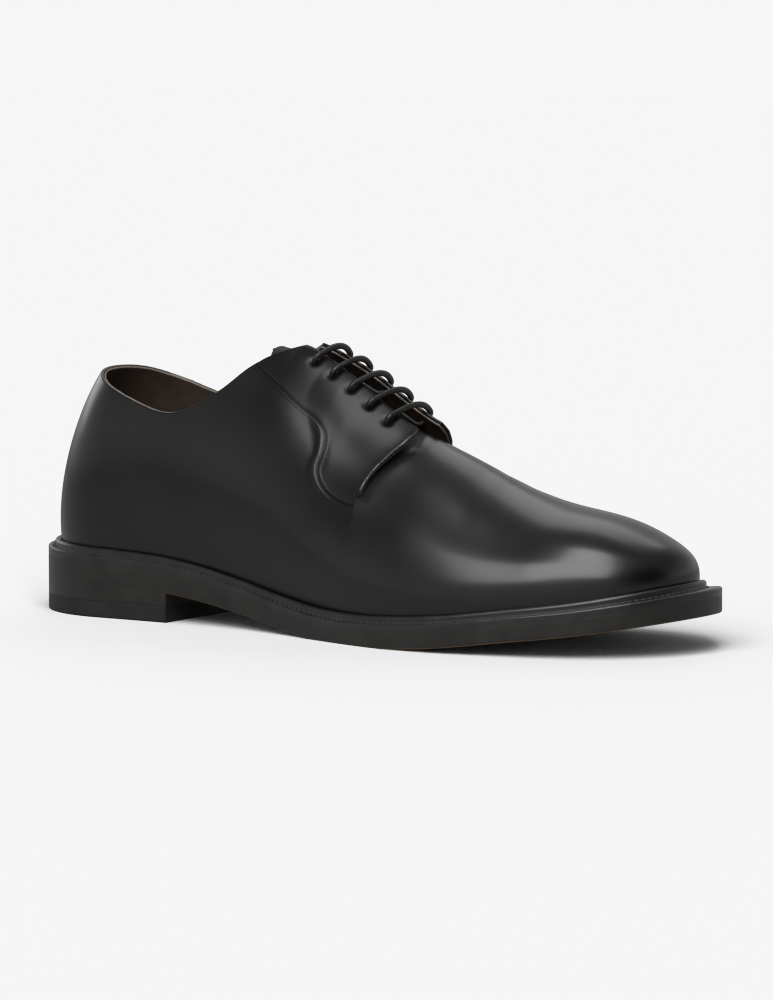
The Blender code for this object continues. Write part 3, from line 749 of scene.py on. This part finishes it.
# %% Seam, creases and eyelets on the leather
SEAM = (  # station, share of the column
    (103.5, 0.710),
    (111.3, 0.683),
    (120.4, 0.655),
    (133.3, 0.632),
    (142.5, 0.622),
    (146.8, 0.597),
    (148.3, 0.552),
    (148.2, 0.508),
    (147.9, 0.466),
    (150.4, 0.430),
    (155.7, 0.409),
    (161.5, 0.408),
    (166.2, 0.416),
    (168.9, 0.434),
)
UPRIGHT = 0.56              # part of the seam's length where it stands upright
COLUMN_LENGTH = 112.0       # mm along a column there, for evening out the seam's points
SWELLINGS = (  # part of the seam's length, spread, mm behind the seam, half width in mm, height in mm
    (UPRIGHT, 0.10, 1.7, 1.1, 0.60),
    (0.74, 0.10, 2.2, 1.5, 0.25),
)
EYELETS = 5
EYELET_FIRST = 129.0        # station of the top one
EYELET_PITCH = 9.0
EYELET_INSET = 5.5          # from the throat's edge
DIMPLE_DEPTH, DIMPLE_WIDTH = 0.7, 1.7
UNEVEN = 0.10               # slow unevenness of leather pulled over a last
CREASES = (  # station at the crest, slant towards the outer side, depth in mm, half width in mm
    (203.0, 9.0, 0.16, 3.2),
    (214.0, 12.0, 0.12, 3.6),
)


def run_along(path):
    """Length along a path at each of its points."""
    return np.concatenate([[0], np.cumsum(np.linalg.norm(np.diff(path, axis=0), axis=1))])


def seam_places():
    """Stations and shares of 90 points along the seam, evenly spaced on a smooth curve through its own."""
    corners = np.array(SEAM) * (1.0, COLUMN_LENGTH)
    far = run_along(corners)
    rows = [(t, a, b) for t, (a, b) in zip(far, corners)]
    t = np.linspace(0, far[-1], 90)
    return spline(rows, 1)(t), spline(rows, 2)(t) / COLUMN_LENGTH


def seam_line(side, raised=True):
    """Points and normals of the seam on one side, on the last or on the leather over it."""
    x, share = seam_places()
    place, normal = last(x, side, share), facing(x, side, share)
    if raised:
        place = place + normal * tab_rise(x, share, throat_share(x, side))[:, None]
    return place, normal


def seam_distance(points, side, raised=True):
    """Signed distance from the seam, positive on the tab's side, and where along the seam its nearest point
    lies, from 0 to 1. The seam is taken piece by piece, for all the points at once."""
    line, normal = seam_line(side, raised)
    ahead = unit(np.gradient(line, axis=0))
    flat = points.reshape(-1, 3)
    least, sign, part = np.full(len(flat), 1e6), np.ones(len(flat)), np.zeros(len(flat))
    for i in range(len(line) - 1):
        step = line[i + 1] - line[i]
        t = np.clip(((flat - line[i]) @ step) / (step @ step), 0, 1)
        off = flat - line[i] - t[:, None] * step
        size = np.linalg.norm(off, axis=1)
        nearer = size < least
        least = np.where(nearer, size, least)
        sign = np.where(nearer, np.sign(off @ np.cross(ahead[i], normal[i]) * side), sign)
        part = np.where(nearer, (i + t) / (len(line) - 1), part)
    return (least * sign).reshape(points.shape[:-1]), part.reshape(points.shape[:-1])


def eyelet_share(side):
    """Stations and shares of the eyelets' centres on one side, from the top one down."""
    x = EYELET_FIRST + EYELET_PITCH * np.arange(EYELETS)
    return x, throat_share(x, side, EYELET_INSET)


def worked_surface(place, station, side, share, part):
    """Relief of the leather in mm: soft creases over the ball and a slow unevenness, and on the quarter the
    swellings behind the seam and a dimple at each eyelet. Each is its height times one or two bells."""
    x, y, z = place[..., 0], place[..., 1], place[..., 2]
    lift = UNEVEN * np.sin(x / 17.0 + y / 23.0) * np.sin(z / 13.0 + 1.0) * ease(z / 40.0 - 0.5)
    for at, slant, depth, half in CREASES:
        line = at + slant * (1 - share) * 2
        lift = lift - depth * bell(station - line, half) * ease((share - 0.45) / 0.25)
    if part == "quarter":
        distance, along = seam_distance(place, side, raised=False)
        for at, spread, behind, half, height in SWELLINGS:
            lift = lift + height * bell(along - at, spread) * bell(distance + behind, half)
        for centre in last(eyelet_share(side)[0], side, eyelet_share(side)[1]):
            lift = lift - DIMPLE_DEPTH * bell(np.linalg.norm(place - centre, axis=-1), DIMPLE_WIDTH)
    return lift


# %% [markdown]
# On the real shoe the tab and the leather beside the seam mirror less of the light than this surface would,
# because they lie at a slightly other angle. That shade is painted: each point also stores a number from 0 to
# 1, which the finish turns into a thinner coat of polish and a weaker mirror, and which is lower still in the
# seam's groove as painted shade there. Behind the seam's upright part the painted shade is lifted again over
# the real swelling, a painted highlight that shows as a bright streak.

# %% Leather of the upper
SEAM_PAINTED_SHADE = 0.6            # share of the reflection taken away beside the seam, as painted shade
TAB_PAINTED_SHADE, TAB_FROM = 0.15, 7.0         # further painted shade on the tab, in full this many mm from the seam
QUARTER_FADE = 15.0         # mm over which the painted shade on the quarter fades out
GROOVE_PAINTED_SHADE, GROOVE_WIDE = 0.7, 0.7    # painted shade in the groove, as a share of the reflection taken away, and its half width
PAINTED_HIGHLIGHT_LONG, PAINTED_HIGHLIGHT_AT, PAINTED_HIGHLIGHT_WIDE = 0.11, 1.7, 1.3    # painted highlight streak: part of the seam's length, mm behind it, and half width


def painted_leather_sheen(seam, along, on_quarter):
    """Painted sheen of points at a distance from the seam: 1, less the painted shade beside the seam, on the
    tab and in the groove, and back to 1 in the painted highlight behind the seam's upright part.
    """
    tab = SEAM_PAINTED_SHADE + TAB_PAINTED_SHADE * ease(seam / TAB_FROM)
    painted_sheen = 1.0 - on_quarter * np.where(seam > 0, tab, SEAM_PAINTED_SHADE * bell(seam, QUARTER_FADE))
    painted_sheen = painted_sheen * (1.0 - GROOVE_PAINTED_SHADE * on_quarter * bell(seam, GROOVE_WIDE))
    return np.maximum(painted_sheen, bell(along - UPRIGHT, PAINTED_HIGHLIGHT_LONG) * bell(seam + PAINTED_HIGHLIGHT_AT, PAINTED_HIGHLIGHT_WIDE))


grids, _, behind = upper_shell(1.5, 0.0, -LEATHER, EDGE_DROP, worked_surface)
every = np.concatenate([g.reshape(-1, 3) for g in grids])
(near, near_part), (far, far_part) = (seam_distance(every, side) for side in (-1, 1))
outer = np.abs(near) < np.abs(far)
seam, along = np.where(outer, near, far), np.where(outer, near_part, far_part)
on_quarter = np.repeat(behind, grid_sizes(grids))
# Painted shade beside the seam, on the tab and in the groove, and a painted highlight streak, as a number on
# each point
painted_sheen = painted_leather_sheen(seam, along, on_quarter)
past = 2 * SEAM_REACH
seam = np.where(on_quarter == 1, np.clip(seam, -past, past), -past)
upper_leather = make_piece("upper_leather", grids, [worked_calf.material],
                           values={"seam": seam, "painted_sheen": painted_sheen})
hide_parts("upper")

# %% [markdown]
# The lining is a second, thinner shell inside the leather. Along the opening its cut edge stands a hair
# above the folded leather, and because it is bare it shows as a fine pale line all round the topline.

# %% Lining
LINING_OUT, LINING_IN = -LEATHER - 0.12, -2.2
LINING_PROUD = 0.25
grids, kinds, _ = upper_shell(2.6, LINING_OUT, LINING_IN, LINING_PROUD)
upper_lining = make_piece("upper_lining", grids, [brown_lining.material, cut_edge.material], kinds)

# %% [markdown]
# The tongue is a padded leaf of softer, duller leather under the tabs, and only its top and a strip between
# the bars can be seen. Its places are wanted for a distance across the foot and not for a share, so each
# share is found by halving: the distance grows steadily with the share, and 30 halvings are plenty.

# %% Tongue
TONGUE_DEPTH = 5.8          # of its face under the tabs' rise
TONGUE_FOLLOW = 0.6         # share of the tabs' rise that it follows
TONGUE_THICK = 2.0
TONGUE_TOP, TONGUE_END = 105.0, 181.0   # stations
TONGUE = (  # station, half width
    (TONGUE_TOP, 5.0),
    (106.0, 9.0),
    (108.0, 13.5),
    (112.0, 18.0),
    (118.0, 21.0),
    (125.0, 22.5),
    (150.0, 20.0),
    (166.0, 16.5),
    (176.0, 13.0),
    (TONGUE_END, 9.0),
)
tongue_half = table(TONGUE, 1)


def share_across(x, side, y):
    """The share at which a column lies at y, by halving the range 30 times."""
    low, high = np.full_like(y, 0.3), np.ones_like(y)
    for _ in range(30):
        half = (low + high) / 2
        short = side * (last(x, side, half)[..., 1] - y) > 0
        low, high = np.where(short, half, low), np.where(short, high, half)
    return (low + high) / 2


def tongue_face(depth):
    """One face of the leaf, at a depth: places across the foot in even parts of its width, which follow the
    tabs' rise in part. Its rows stand close together at the rounded top."""
    top = TONGUE_TOP + 4.0 * np.linspace(0, 1, 9) ** 2
    x = np.concatenate([top, np.linspace(TONGUE_TOP + 5.0, TONGUE_END, 72)])[:, None]
    y = THROAT_CENTRE + np.linspace(-1, 1, 61)[None, :] * tongue_half(x)
    side = np.where(y < crest_side(x), -1.0, 1.0)
    share = share_across(x, side, y)
    edge = np.where(side < 0, *(throat_share(x[:, 0], s)[:, None] for s in (-1, 1)))
    lift = TONGUE_FOLLOW * tab_rise(x, share, edge) - depth
    return last(x, side, share) + facing(x, side, share) * lift[..., None]


def leaf(face, back):
    """Grids of a closed leaf: two faces and a rounded edge on all four sides. Each edge bulges away from its
    face, and at a corner both edges take the mean of their two ways, so that they meet."""
    ends = [unit(face[i] - face[j]) for i, j in ((0, 1), (-1, -2))]
    wings = [unit(face[:, i] - face[:, j]) for i, j in ((0, 1), (-1, -2))]
    for i in (0, -1):
        for j in (0, -1):
            ends[i][j] = wings[j][i] = unit(ends[i][j] + wings[j][i])
    grids = [face, back]
    grids += [rim(face[i], back[i], ends[i]) for i in (0, -1)]
    grids += [rim(face[:, i], back[:, i], wings[i]) for i in (0, -1)]
    return grids


faces = [tongue_face(depth) for depth in (TONGUE_DEPTH, TONGUE_DEPTH + TONGUE_THICK)]
tongue = make_piece("tongue_leather", leaf(*faces), [dull_calf.material])
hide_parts("tongue")

# %% [markdown]
# Five rows of blind eyelets carry one round waxed lace in straight bars: over the gap, down through the
# tab, along under it to the next row and up again. A path of corners and arcs is laid first, and a cord is
# swept along it.

# %% Lace
LACE_RADIUS = 1.25
LACE_BEND = 2.2             # radius of its turns
LACE_OVER = 2.7             # height of a bar's line over the tab at the eyelet
LACE_BOW = 0.5              # and of its middle over the plain curve
LACE_PULL = 0.36            # handles of that curve, as a share of its span
LACE_END = 0.6              # how far each end reaches past its eyelet's turn
BRAID_DEPTH, BRAID_PITCH = 0.07, 2.4    # strands: share of the radius, and mm for one turn
BRAID_STRANDS = 3           # in each of the two directions
WALL = 2.2                  # leather and lining together


def eyelet(row, side):
    """Centre and outward normal of an eyelet on the tab's face. Row 0 is the top one."""
    station, share = (v[row:row + 1] for v in eyelet_share(side))
    rise = tab_rise(station, share, throat_share(station, side))
    normal = facing(station, side, share)
    return (last(station, side, share) + normal * rise[:, None])[0], normal[0]


def arc(corner, come, go):
    """A rounded corner of radius LACE_BEND, from the direction come to the direction go."""
    turn = np.linspace(0, np.pi / 2, 8)[:, None]
    return corner - come * LACE_BEND * (1 - np.sin(turn)) + go * LACE_BEND * (1 - np.cos(turn))


def level_with(vector, normal):
    """The part of a vector that lies in the plane of a normal, as a unit vector."""
    return unit(vector - normal * (vector @ normal))


def bar(start, start_out, end, end_out):
    """One bar over the gap: up out of its eyelet, a cubic curve across with its middle raised, and down."""
    go, come = level_with(end - start, start_out), level_with(end - start, end_out)
    first = start + start_out * LACE_OVER + go * LACE_BEND
    final = end + end_out * LACE_OVER - come * LACE_BEND
    span = np.linalg.norm(final - first)
    t = np.linspace(0, 1, 24)[1:-1, None]
    one, two = first + go * span * LACE_PULL, final - come * span * LACE_PULL
    curve = first * (1 - t) ** 3 + 3 * one * (1 - t) ** 2 * t + 3 * two * (1 - t) * t ** 2 + final * t ** 3
    curve = curve + unit(start_out + end_out) * LACE_BOW * (4 * t * (1 - t)) ** 2
    return np.concatenate([arc(start + start_out * LACE_OVER, start_out, go), curve,
                           arc(end + end_out * LACE_OVER, come, -end_out)])


def lace_path():
    """The bars from the lowest row to the top one, with a run under the tab between each two."""
    side, parts = -1, []
    for row in range(EYELETS - 1, -1, -1):
        (start, start_out), (end, end_out) = eyelet(row, side), eyelet(row, -side)
        under = start - start_out * (WALL + LACE_BEND)
        if parts:
            parts.append(arc(under, level_with(under - parts[-1][-1], start_out), start_out))
        else:
            parts.append((under - start_out * LACE_END)[None])
        parts.append(bar(start, start_out, end, end_out))
        under = end - end_out * (WALL + LACE_BEND)
        if row:
            parts.append(arc(under, -end_out, level_with(eyelet(row - 1, -side)[0] - end, end_out)))
        else:
            parts.append((under - end_out * LACE_END)[None])
        side = -side
    return np.concatenate(parts)


def read_at(at, far, rows):
    """Vectors at the lengths `at`, read from rows of them that lie at the lengths `far`."""
    return np.stack([np.interp(at, far, rows[:, k]) for k in range(3)], -1)


def even(path, step):
    """The path again with points step apart, and the length along it at each."""
    far = run_along(path)
    along = np.linspace(0, far[-1], int(far[-1] / step) + 1)
    return read_at(along, far, path), along


def carried_frames(path):
    """Two unit vectors across the path at each point, turned as little as possible from one to the next."""
    tangent = unit(np.gradient(path, axis=0))
    across = np.empty_like(path)
    across[0] = unit(np.cross(tangent[0], [0.3, 0.2, 1.0]))
    for i in range(1, len(path)):
        across[i] = unit(across[i - 1] - tangent[i] * (across[i - 1] @ tangent[i]))
    return across, np.cross(tangent, across)


def cord_grids(path, along):
    """A tube of rings of radius R (1 - b + b cos(n a + w) cos(n a - w)), where a goes round the cord and w
    along it: the product is the relief of two sets of strands that wind opposite ways."""
    across, other = carried_frames(path)
    angle = np.linspace(0, 2 * np.pi, 21)[None, :]
    wave = 2 * np.pi * along[:, None] / BRAID_PITCH
    relief = np.cos(BRAID_STRANDS * angle + wave) * np.cos(BRAID_STRANDS * angle - wave)
    size = LACE_RADIUS * (1 - BRAID_DEPTH + BRAID_DEPTH * relief)
    ring = np.cos(angle)[..., None] * across[:, None] + np.sin(angle)[..., None] * other[:, None]
    tube = path[:, None] + ring * size[..., None]
    caps = [np.stack([tube[i], np.repeat(path[i][None], tube.shape[1], axis=0)]) for i in (0, -1)]
    return [tube] + caps


waxed = waxed_finish("waxed_cotton", (0.008, 0.008, 0.008), 0.42, 3000.0, 0.00012, coat=0.15)
path, along = even(lace_path(), 0.25)
lace = make_piece("round_lace", cord_grids(path, along), [waxed.material], crisp=80)
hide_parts("lace")
print("lace in its eyelets", round(float(along[-1])), "mm")

# %% [markdown]
# Under the upper everything follows one outline, moved outward by the welt's width. The storm welt is swept
# round it: a rounded bead stands against the leather, then comes a groove, and the stitches sit on the
# ledge.

# %% Welt
GAP = 0.3                   # between the upper and the bead
BEAD_HEIGHT = 2.6           # from the ledge to the feather line
BEAD_WIDTH = 2.4
BEAD_ROUND = 1.25           # upper part of its height that is rounded
BEAD_OUT = 2.65             # where the bead ends and the groove begins
GROOVE = ((0.08, -0.1), (0.3, -0.75), (0.6, -0.75), (0.9, -0.15))   # share of its width, and height
GROOVE_WIDEST = 1.6
LIP = 0.7                   # radius of the welt's outer edge
WELT_THICK = 3.2
WELT_INSET = 2.6            # of its inner edge from the feather line
EDGE = (  # station, height of the sole's edge under the welt's top
    (0.0, 11.3),
    (80.0, 11.5),
    (120.0, 10.4),
    (150.0, 10.0),
    (294.0, 10.0),
)
edge_at = spline(EDGE, 1)
HEEL_RUN, SIDE_RUN, TOE_RUN = 57.0, 208.0, 79.0     # mm along one side of the outline, in three parts


def ring_stations(pitch):
    """Stations from heel to toe, close together round both ends."""
    side = np.linspace(HEEL_ROUND, LENGTH - TOE_ROUND, int(SIDE_RUN / pitch), endpoint=False)
    return np.concatenate([heel_stations(int(HEEL_RUN / pitch)), side, toe_stations(int(TOE_RUN / pitch))])


def ledge_at(x):
    """Height of the welt's ledge."""
    return seat_at(x) - BEAD_HEIGHT


def tread_at(x):
    """Height of the outsole's underside: level with the ground under the ball."""
    return np.maximum(ledge_at(x) - edge_at(x), 0.0)


def offset_line(x, side, out, height):
    """The feather line moved level outward by out, at a height. Arrays of any shape."""
    x, side, out, height = alike(x, side, out, height)
    line = feather(x, side) + outward(x, side) * out[..., None]
    return np.stack([line[..., 0], line[..., 1], height], -1)


def groove_room(out):
    """Width left for the groove between the bead and the welt's rounded lip, up to its widest."""
    return np.minimum(out - LIP - BEAD_OUT, GROOVE_WIDEST)


def welt_profile(out):
    """Points of the section of a welt that reaches out to `out`: distance out, and height over the ledge.
    They go over the bead's half turn, the groove and the lip's quarter turn, and back along the base."""
    bead = [(GAP + BEAD_WIDTH / 2 * (1 + np.cos(a)), BEAD_HEIGHT - BEAD_ROUND + BEAD_ROUND * np.sin(a))
            for a in np.linspace(np.pi, -0.15, 12)]
    rows = [(-WELT_INSET, 0.0), (GAP, 0.0)] + bead
    rows += [(BEAD_OUT + groove_room(out) * a, b) for a, b in GROOVE]
    rows += [(out + LIP * (np.cos(a) - 1), LIP * (np.sin(a) - 1)) for a in np.linspace(np.pi / 2, 0, 5)]
    rows += [(out, -WELT_THICK), (-WELT_INSET, -WELT_THICK), (-WELT_INSET, 0.0)]
    return rows


def swept(x, side, section):
    """A section carried along one side: each of its points follows the outline at its distance and height."""
    return np.stack([offset_line(x, side, out, height) for out, height in section], 1)


x = ring_stations(1.5)
section = [(out, ledge_at(x) + height) for out, height in welt_profile(welt_at(x))]
polished_edge = waxed_finish("polished_edge", (0.012, 0.011, 0.010), 0.34, 700.0, 0.00006, coat=0.5)
welt = make_piece("storm_welt", [swept(x, side, section) for side in (-1, 1)], [polished_edge.material])
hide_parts("welt")

# %% [markdown]
# The welt's stitches are one short capsule repeated round the shoe. All of them are one array: each stitch
# takes its place, direction and up from the line it sits on, and the capsule's points are laid along those
# three.

# %% Stitches round the welt
WELT_STITCH = (2.3, 0.85, 0.9)      # length, width and height
WELT_PITCH = 2.8
STITCH_DEPTH = 0.25                 # of the stitches' middle under the ledge
GROOVE_MIDDLE = 0.45                # share of the groove's width where they lie


def capsule(length, width, height, rings=6, sides=8):
    """A stitch from -length/2 to +length/2: rings whose size follows sqrt(1 - t^4), closed at both tips."""
    t = np.linspace(-1, 1, rings + 1)
    size = np.sqrt(np.clip(1 - t ** 4, 0, 1))
    angle = np.linspace(0, 2 * np.pi, sides + 1)
    return np.stack([np.broadcast_to(t[:, None] * length / 2, (rings + 1, sides + 1)),
                     size[:, None] * np.cos(angle) * width / 2,
                     size[:, None] * np.sin(angle) * height / 2], -1)


def stitched(line, up, pitch, shape):
    """Copies of a stitch every pitch mm along a line of points: place + x * ahead + y * side + z * up."""
    far = run_along(line)
    at = np.arange(pitch / 2, far[-1], pitch)
    spot, over = read_at(at, far, line), read_at(at, far, up)
    ahead = unit(read_at(at + 0.3, far, line) - read_at(at - 0.3, far, line))
    across = unit(np.cross(over, ahead))
    over = np.cross(ahead, across)
    axes = np.stack([ahead, across, over], 1)
    return list(spot[:, None, None] + np.einsum("abi,nij->nabj", shape, axes))


thread = waxed_finish("waxed_thread", (0.030, 0.028, 0.025), 0.5, 4000.0, 0.00008)
x = ring_stations(1.0)
in_groove = BEAD_OUT + GROOVE_MIDDLE * groove_room(welt_at(x))
halves = [offset_line(x, side, in_groove, ledge_at(x) - STITCH_DEPTH) for side in (-1, 1)]
ring = np.concatenate([halves[0], halves[1][::-1]])
grids = stitched(ring, np.tile([0.0, 0.0, 1.0], (len(ring), 1)), WELT_PITCH, capsule(*WELT_STITCH))
welt_stitches = make_piece("welt_stitches", grids, [thread.material], crisp=180)

# %% [markdown]
# The upper is sewn with finer thread. One row follows the seam on the tab's side, a short row follows the
# tab's front edge, and four bars lie across the slit's end, where a pull on the lace would tear it.

# %% Stitches of the upper
SEAM_ROWS = (  # distance from the seam in mm on the tab's side, first and last of its 90 points
    (1.25, 6, 86),
    (2.60, 52, 84),
)
FINE_STITCH, FINE_PITCH = (1.5, 0.42, 0.42), 2.0
TAB_ROW_INSET = 1.7         # of the row along the tab's front edge
TAB_ROW = (0.452, 0.62)     # shares where it starts and ends
BAR_STITCH = (2.9, 0.5, 0.5)
BARS = (0.424, 0.429, 0.434, 0.439)     # shares of the bars across the slit's end
BAR_ENDS = (167.0, 170.2)   # and their stations
BAR_PITCH = 3.0             # nearly a bar's whole line, which therefore holds one stitch
BAR_LIFT = 0.05


def on_leather(x, share, side):
    """Points and normals of the leather's outer face at stations and shares of the quarter."""
    place, normal = last(x, side, share), facing(x, side, share)
    lift = tab_rise(x, share, throat_share(x, side)) + worked_surface(place, x, side, share, "quarter")
    return place + normal * lift[..., None], normal


def beside_seam(distance):
    """The seam's line moved to its left by a distance: P + d * (-t_y, t_x), with P in millimetres."""
    x, share = seam_places()
    line = np.stack([x, share * COLUMN_LENGTH], -1)
    ahead = unit(np.gradient(line, axis=0))
    line = line + distance * np.stack([-ahead[:, 1], ahead[:, 0]], -1)
    return line[:, 0], line[:, 1] / COLUMN_LENGTH


fine_thread = waxed_finish("fine_thread", (0.010, 0.0095, 0.009), 0.42, 4000.0, 0.00008)
fine_stitch, bar_stitch = capsule(*FINE_STITCH), capsule(*BAR_STITCH)
grids = []
for side in (-1, 1):
    for distance, first, final in SEAM_ROWS:
        x, share = (v[first:final] for v in beside_seam(distance))
        grids += stitched(*on_leather(x, share, side), FINE_PITCH, fine_stitch)
    share = np.linspace(*TAB_ROW, 20)
    grids += stitched(*on_leather(slit_line(share) - TAB_ROW_INSET, share, side), FINE_PITCH, fine_stitch)
    for share in BARS:
        x = np.linspace(*BAR_ENDS, 5)
        up = facing(x, side, share)
        grids += stitched(last(x, side, share) + BAR_LIFT * up, up, BAR_PITCH, bar_stitch)
upper_stitches = make_piece("upper_stitches", grids, [fine_thread.material], crisp=180)

# %% [markdown]
# The outsole, the heel's lifts and the rubber top lift are the same outline at other heights. Each is a
# rounded edge swept round it, a face above and a face below.

# %% Sole and heel
BREAST = 72.0               # station of the heel's straight front
HEEL_OUT = 5.5              # most that the heel reaches past the upper
LIFT_THICK = 6.7
TURN_AT_HEEL, TURN_OPEN = 0.05, 0.8     # radius of the outsole's lower edge, on the heel and in front of it


def between(near, far):
    """Points in even steps from one line of points to the other: near (1 - t) + far t."""
    t = np.linspace(0, 1, 25)[None, :, None]
    return near[:, None] * (1 - t) + far[:, None] * t


def slab(x, section, straight_front=False):
    """Grids of a flat piece: the section swept down both sides, a face above and one below, and a straight
    front where the piece has one."""
    left, right = (swept(x, side, section) for side in (-1, 1))
    faces = [between(left[:, row], right[:, row]) for row in (0, -1)]
    if straight_front:
        faces.append(between(left[-1], right[-1]))
    return [left, right] + faces


def rounded_wall(out, high, low, top_round, base_round):
    """Points of an edge from its top to its base: a quarter turn, an upright wall and a quarter turn."""
    turn = np.linspace(0, np.pi / 2, 5)
    rows = [(out - top_round * (1 - np.sin(a)), high - top_round * (1 - np.cos(a))) for a in turn]
    start, stop = high - top_round, low + base_round
    rows += [(out, start + (stop - start) * w) for w in np.linspace(0, 1, 7)[1:-1]]
    rows += [(out - base_round * (1 - np.cos(a)), low + base_round * (1 - np.sin(a))) for a in turn]
    return rows


burnished = waxed_finish("burnished_edge", (0.014, 0.013, 0.0115), 0.42, 700.0, 0.00010, coat=0.25)
tan_sole = soft_leather("tan_sole", (0.36, 0.22, 0.11), (0.47, 0.30, 0.17), 0.5)
rubber = waxed_finish("rubber", (0.014, 0.014, 0.014), 0.6, 1500.0, 0.00006)
x = ring_stations(1.5)
joint = ledge_at(x) - WELT_THICK
turn_under = TURN_AT_HEEL + (TURN_OPEN - TURN_AT_HEEL) * ease((x - BREAST) / 6.0)
grids = slab(x, rounded_wall(welt_at(x), joint - 0.02, tread_at(x), 0.04, turn_under))
bare_turns = [wall[:, -3:] for wall in grids[:2]]
grids = [wall[:, :-2] for wall in grids[:2]] + grids[2:] + bare_turns
outsole = make_piece("leather_outsole", grids, [burnished.material, tan_sole.material], [0, 0, 0, 1, 1, 1])
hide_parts("outsole")
x = np.concatenate([heel_stations(38), np.linspace(HEEL_ROUND, BREAST, 28)])
out = np.minimum(welt_at(x), HEEL_OUT)
grids = slab(x, rounded_wall(out, tread_at(x) - 0.02, LIFT_THICK + 0.05, 0.04, 0.12), straight_front=True)
heel_stack = make_piece("heel_lifts", grids, [burnished.material])
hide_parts("heel_stack")
grids = slab(x, rounded_wall(out, LIFT_THICK, 0.0, 0.2, 0.5), straight_front=True)
top_lift = make_piece("rubber_top_lift", grids, [rubber.material])
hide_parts("top_lift")

# %% [markdown]
# Inside lies the insole board with its cork filling, and a thin sock leather is glued over it. Only the
# sock's top can be seen, deep in the opening, so one slab with the outline moved inward stands for all of
# them.

# %% Sock
x = ring_stations(2.0)
grids = slab(x, rounded_wall(-(WELT_INSET + GAP), seat_at(x) + 0.6, ledge_at(x) - WELT_THICK, 0.6, 0.2))
sock = make_piece("sock_leather", grids, [brown_lining.material])
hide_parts("insole")

# %% [markdown]
# The photograph's studio is read from the polish itself: each bright shape on the leather is the mirror
# image of a light. One large softbox leans over the camera's side, wide below and narrow above, and gives
# the window on the toe. A low strip lights the heel from behind, and a high one the ridge. A softbox of
# radiance L and area A needs a power of pi L A.

# %% Light
SHOE_MIDDLE = np.array([0.0, 0.0, 0.06])
KEY_FACES = (20.0, 35.0)            # azimuth and elevation of the way from the shoe square to the key's plane
SOFTBOXES = (  # name, faces, distance, shift right and up on its plane, width, height in metres, radiance
    ("key", KEY_FACES, 1.0, -0.015, 0.17, 0.93, 0.66, 4.5),
    ("key_top", KEY_FACES, 1.0, 0.135, 1.05, 0.57, 1.10, 4.6),
    ("left_strip", (-108.0, 14.0), 1.8, 0.0, 0.0, 0.90, 0.50, 1.2),
    ("back_high", (-156.0, 43.0), 2.0, 0.0, 0.0, 0.90, 0.90, 1.1),
)
for name, faces, distance, aside, above, width, height, radiance in SOFTBOXES:
    box = bpy.data.lights.new(name, "AREA")
    box.shape = "RECTANGLE"
    box.size, box.size_y = width, height
    box.energy = np.pi * width * height * radiance
    lamp = bpy.data.objects.new(name, box)
    lamp.visible_camera = False
    axes = axes_towards(*faces)
    stand(lamp, axes, SHOE_MIDDLE + axes[2] * distance + axes[0] * aside + axes[1] * above)

print("softboxes", [row[0] for row in SOFTBOXES])

# %% [markdown]
# Leather mirrors the room as well as the lights. The room is a dim grey that fades towards its ceiling, and
# a dark flag on the right ends the toe's window sharply. The camera itself sees plain pale paper.

# %% Room
ROOM_GREY = 0.44
CEILING_SHARE = 0.3                 # the room's ceiling against its walls
FADE_FROM, FADE_TO = 0.15, 0.65     # it fades from the one height of view to the other, 1 being straight up
PAPER = 0.922                       # the pale paper behind and below, as the camera sees it
FLAG_TOWARDS = direction(82.0, 18.0)
FLAG_EDGE, FLAG_FULL = np.cos(np.radians(38.0)), np.cos(np.radians(16.0))
world = bpy.data.worlds.new("studio")
bpy.context.scene.world = world
world.use_nodes = True
tree = world.node_tree
tree.nodes.clear()
way = new_node(tree, "ShaderNodeTexCoord").outputs["Generated"]
towards = new_node(tree, "ShaderNodeVectorMath")
towards.operation = "DOT_PRODUCT"
towards.inputs[1].default_value = FLAG_TOWARDS
height = new_node(tree, "ShaderNodeSeparateXYZ")
flag = span(tree, towards.outputs["Value"], FLAG_EDGE, FLAG_FULL, ROOM_GREY, 0.0)
fade = span(tree, height.outputs["Z"], FADE_FROM, FADE_TO, 1.0, CEILING_SHARE)
room = new_node(tree, "ShaderNodeBackground")
paper = new_node(tree, "ShaderNodeBackground", Color=(PAPER, PAPER, PAPER, 1.0))
ray = new_node(tree, "ShaderNodeLightPath")
mix = new_node(tree, "ShaderNodeMixShader")
output = new_node(tree, "ShaderNodeOutputWorld")
for source, socket in (
    (way, towards.inputs[0]),
    (way, height.inputs[0]),
    (flag, room.inputs["Color"]),
    (fade, room.inputs["Strength"]),
    (ray.outputs["Is Camera Ray"], mix.inputs["Fac"]),
    (room.outputs[0], mix.inputs[1]),
    (paper.outputs[0], mix.inputs[2]),
    (mix.outputs[0], output.inputs["Surface"]),
):
    tree.links.new(source, socket)

print("room", ROOM_GREY, "paper", PAPER)

# %% [markdown]
# The floor only catches the shoe's soft shadow: as a shadow catcher it shows the paper behind it everywhere
# else, so there is no line where floor and backdrop meet. Its own grey is what the leather mirrors from
# below.

# %% Floor
FLOOR_GREY = 0.34
floor = bpy.data.objects.new("floor", bpy.data.meshes.new("floor"))
floor.data.from_pydata([(-6, -6, 0), (6, -6, 0), (6, 6, 0), (-6, 6, 0)], [], [(0, 1, 2, 3)])
pale = Finish("pale_floor", Roughness=0.9, Specular_IOR_Level=0.1)
pale.shader.inputs["Base Color"].default_value = (*grey(FLOOR_GREY), 1.0)
floor.data.materials.append(pale.material)
floor.is_shadow_catcher = True
bpy.context.scene.collection.objects.link(floor)
bpy.context.scene.view_settings.view_transform = "Standard"
print("floor", [round(v, 1) for v in floor.dimensions], "m")
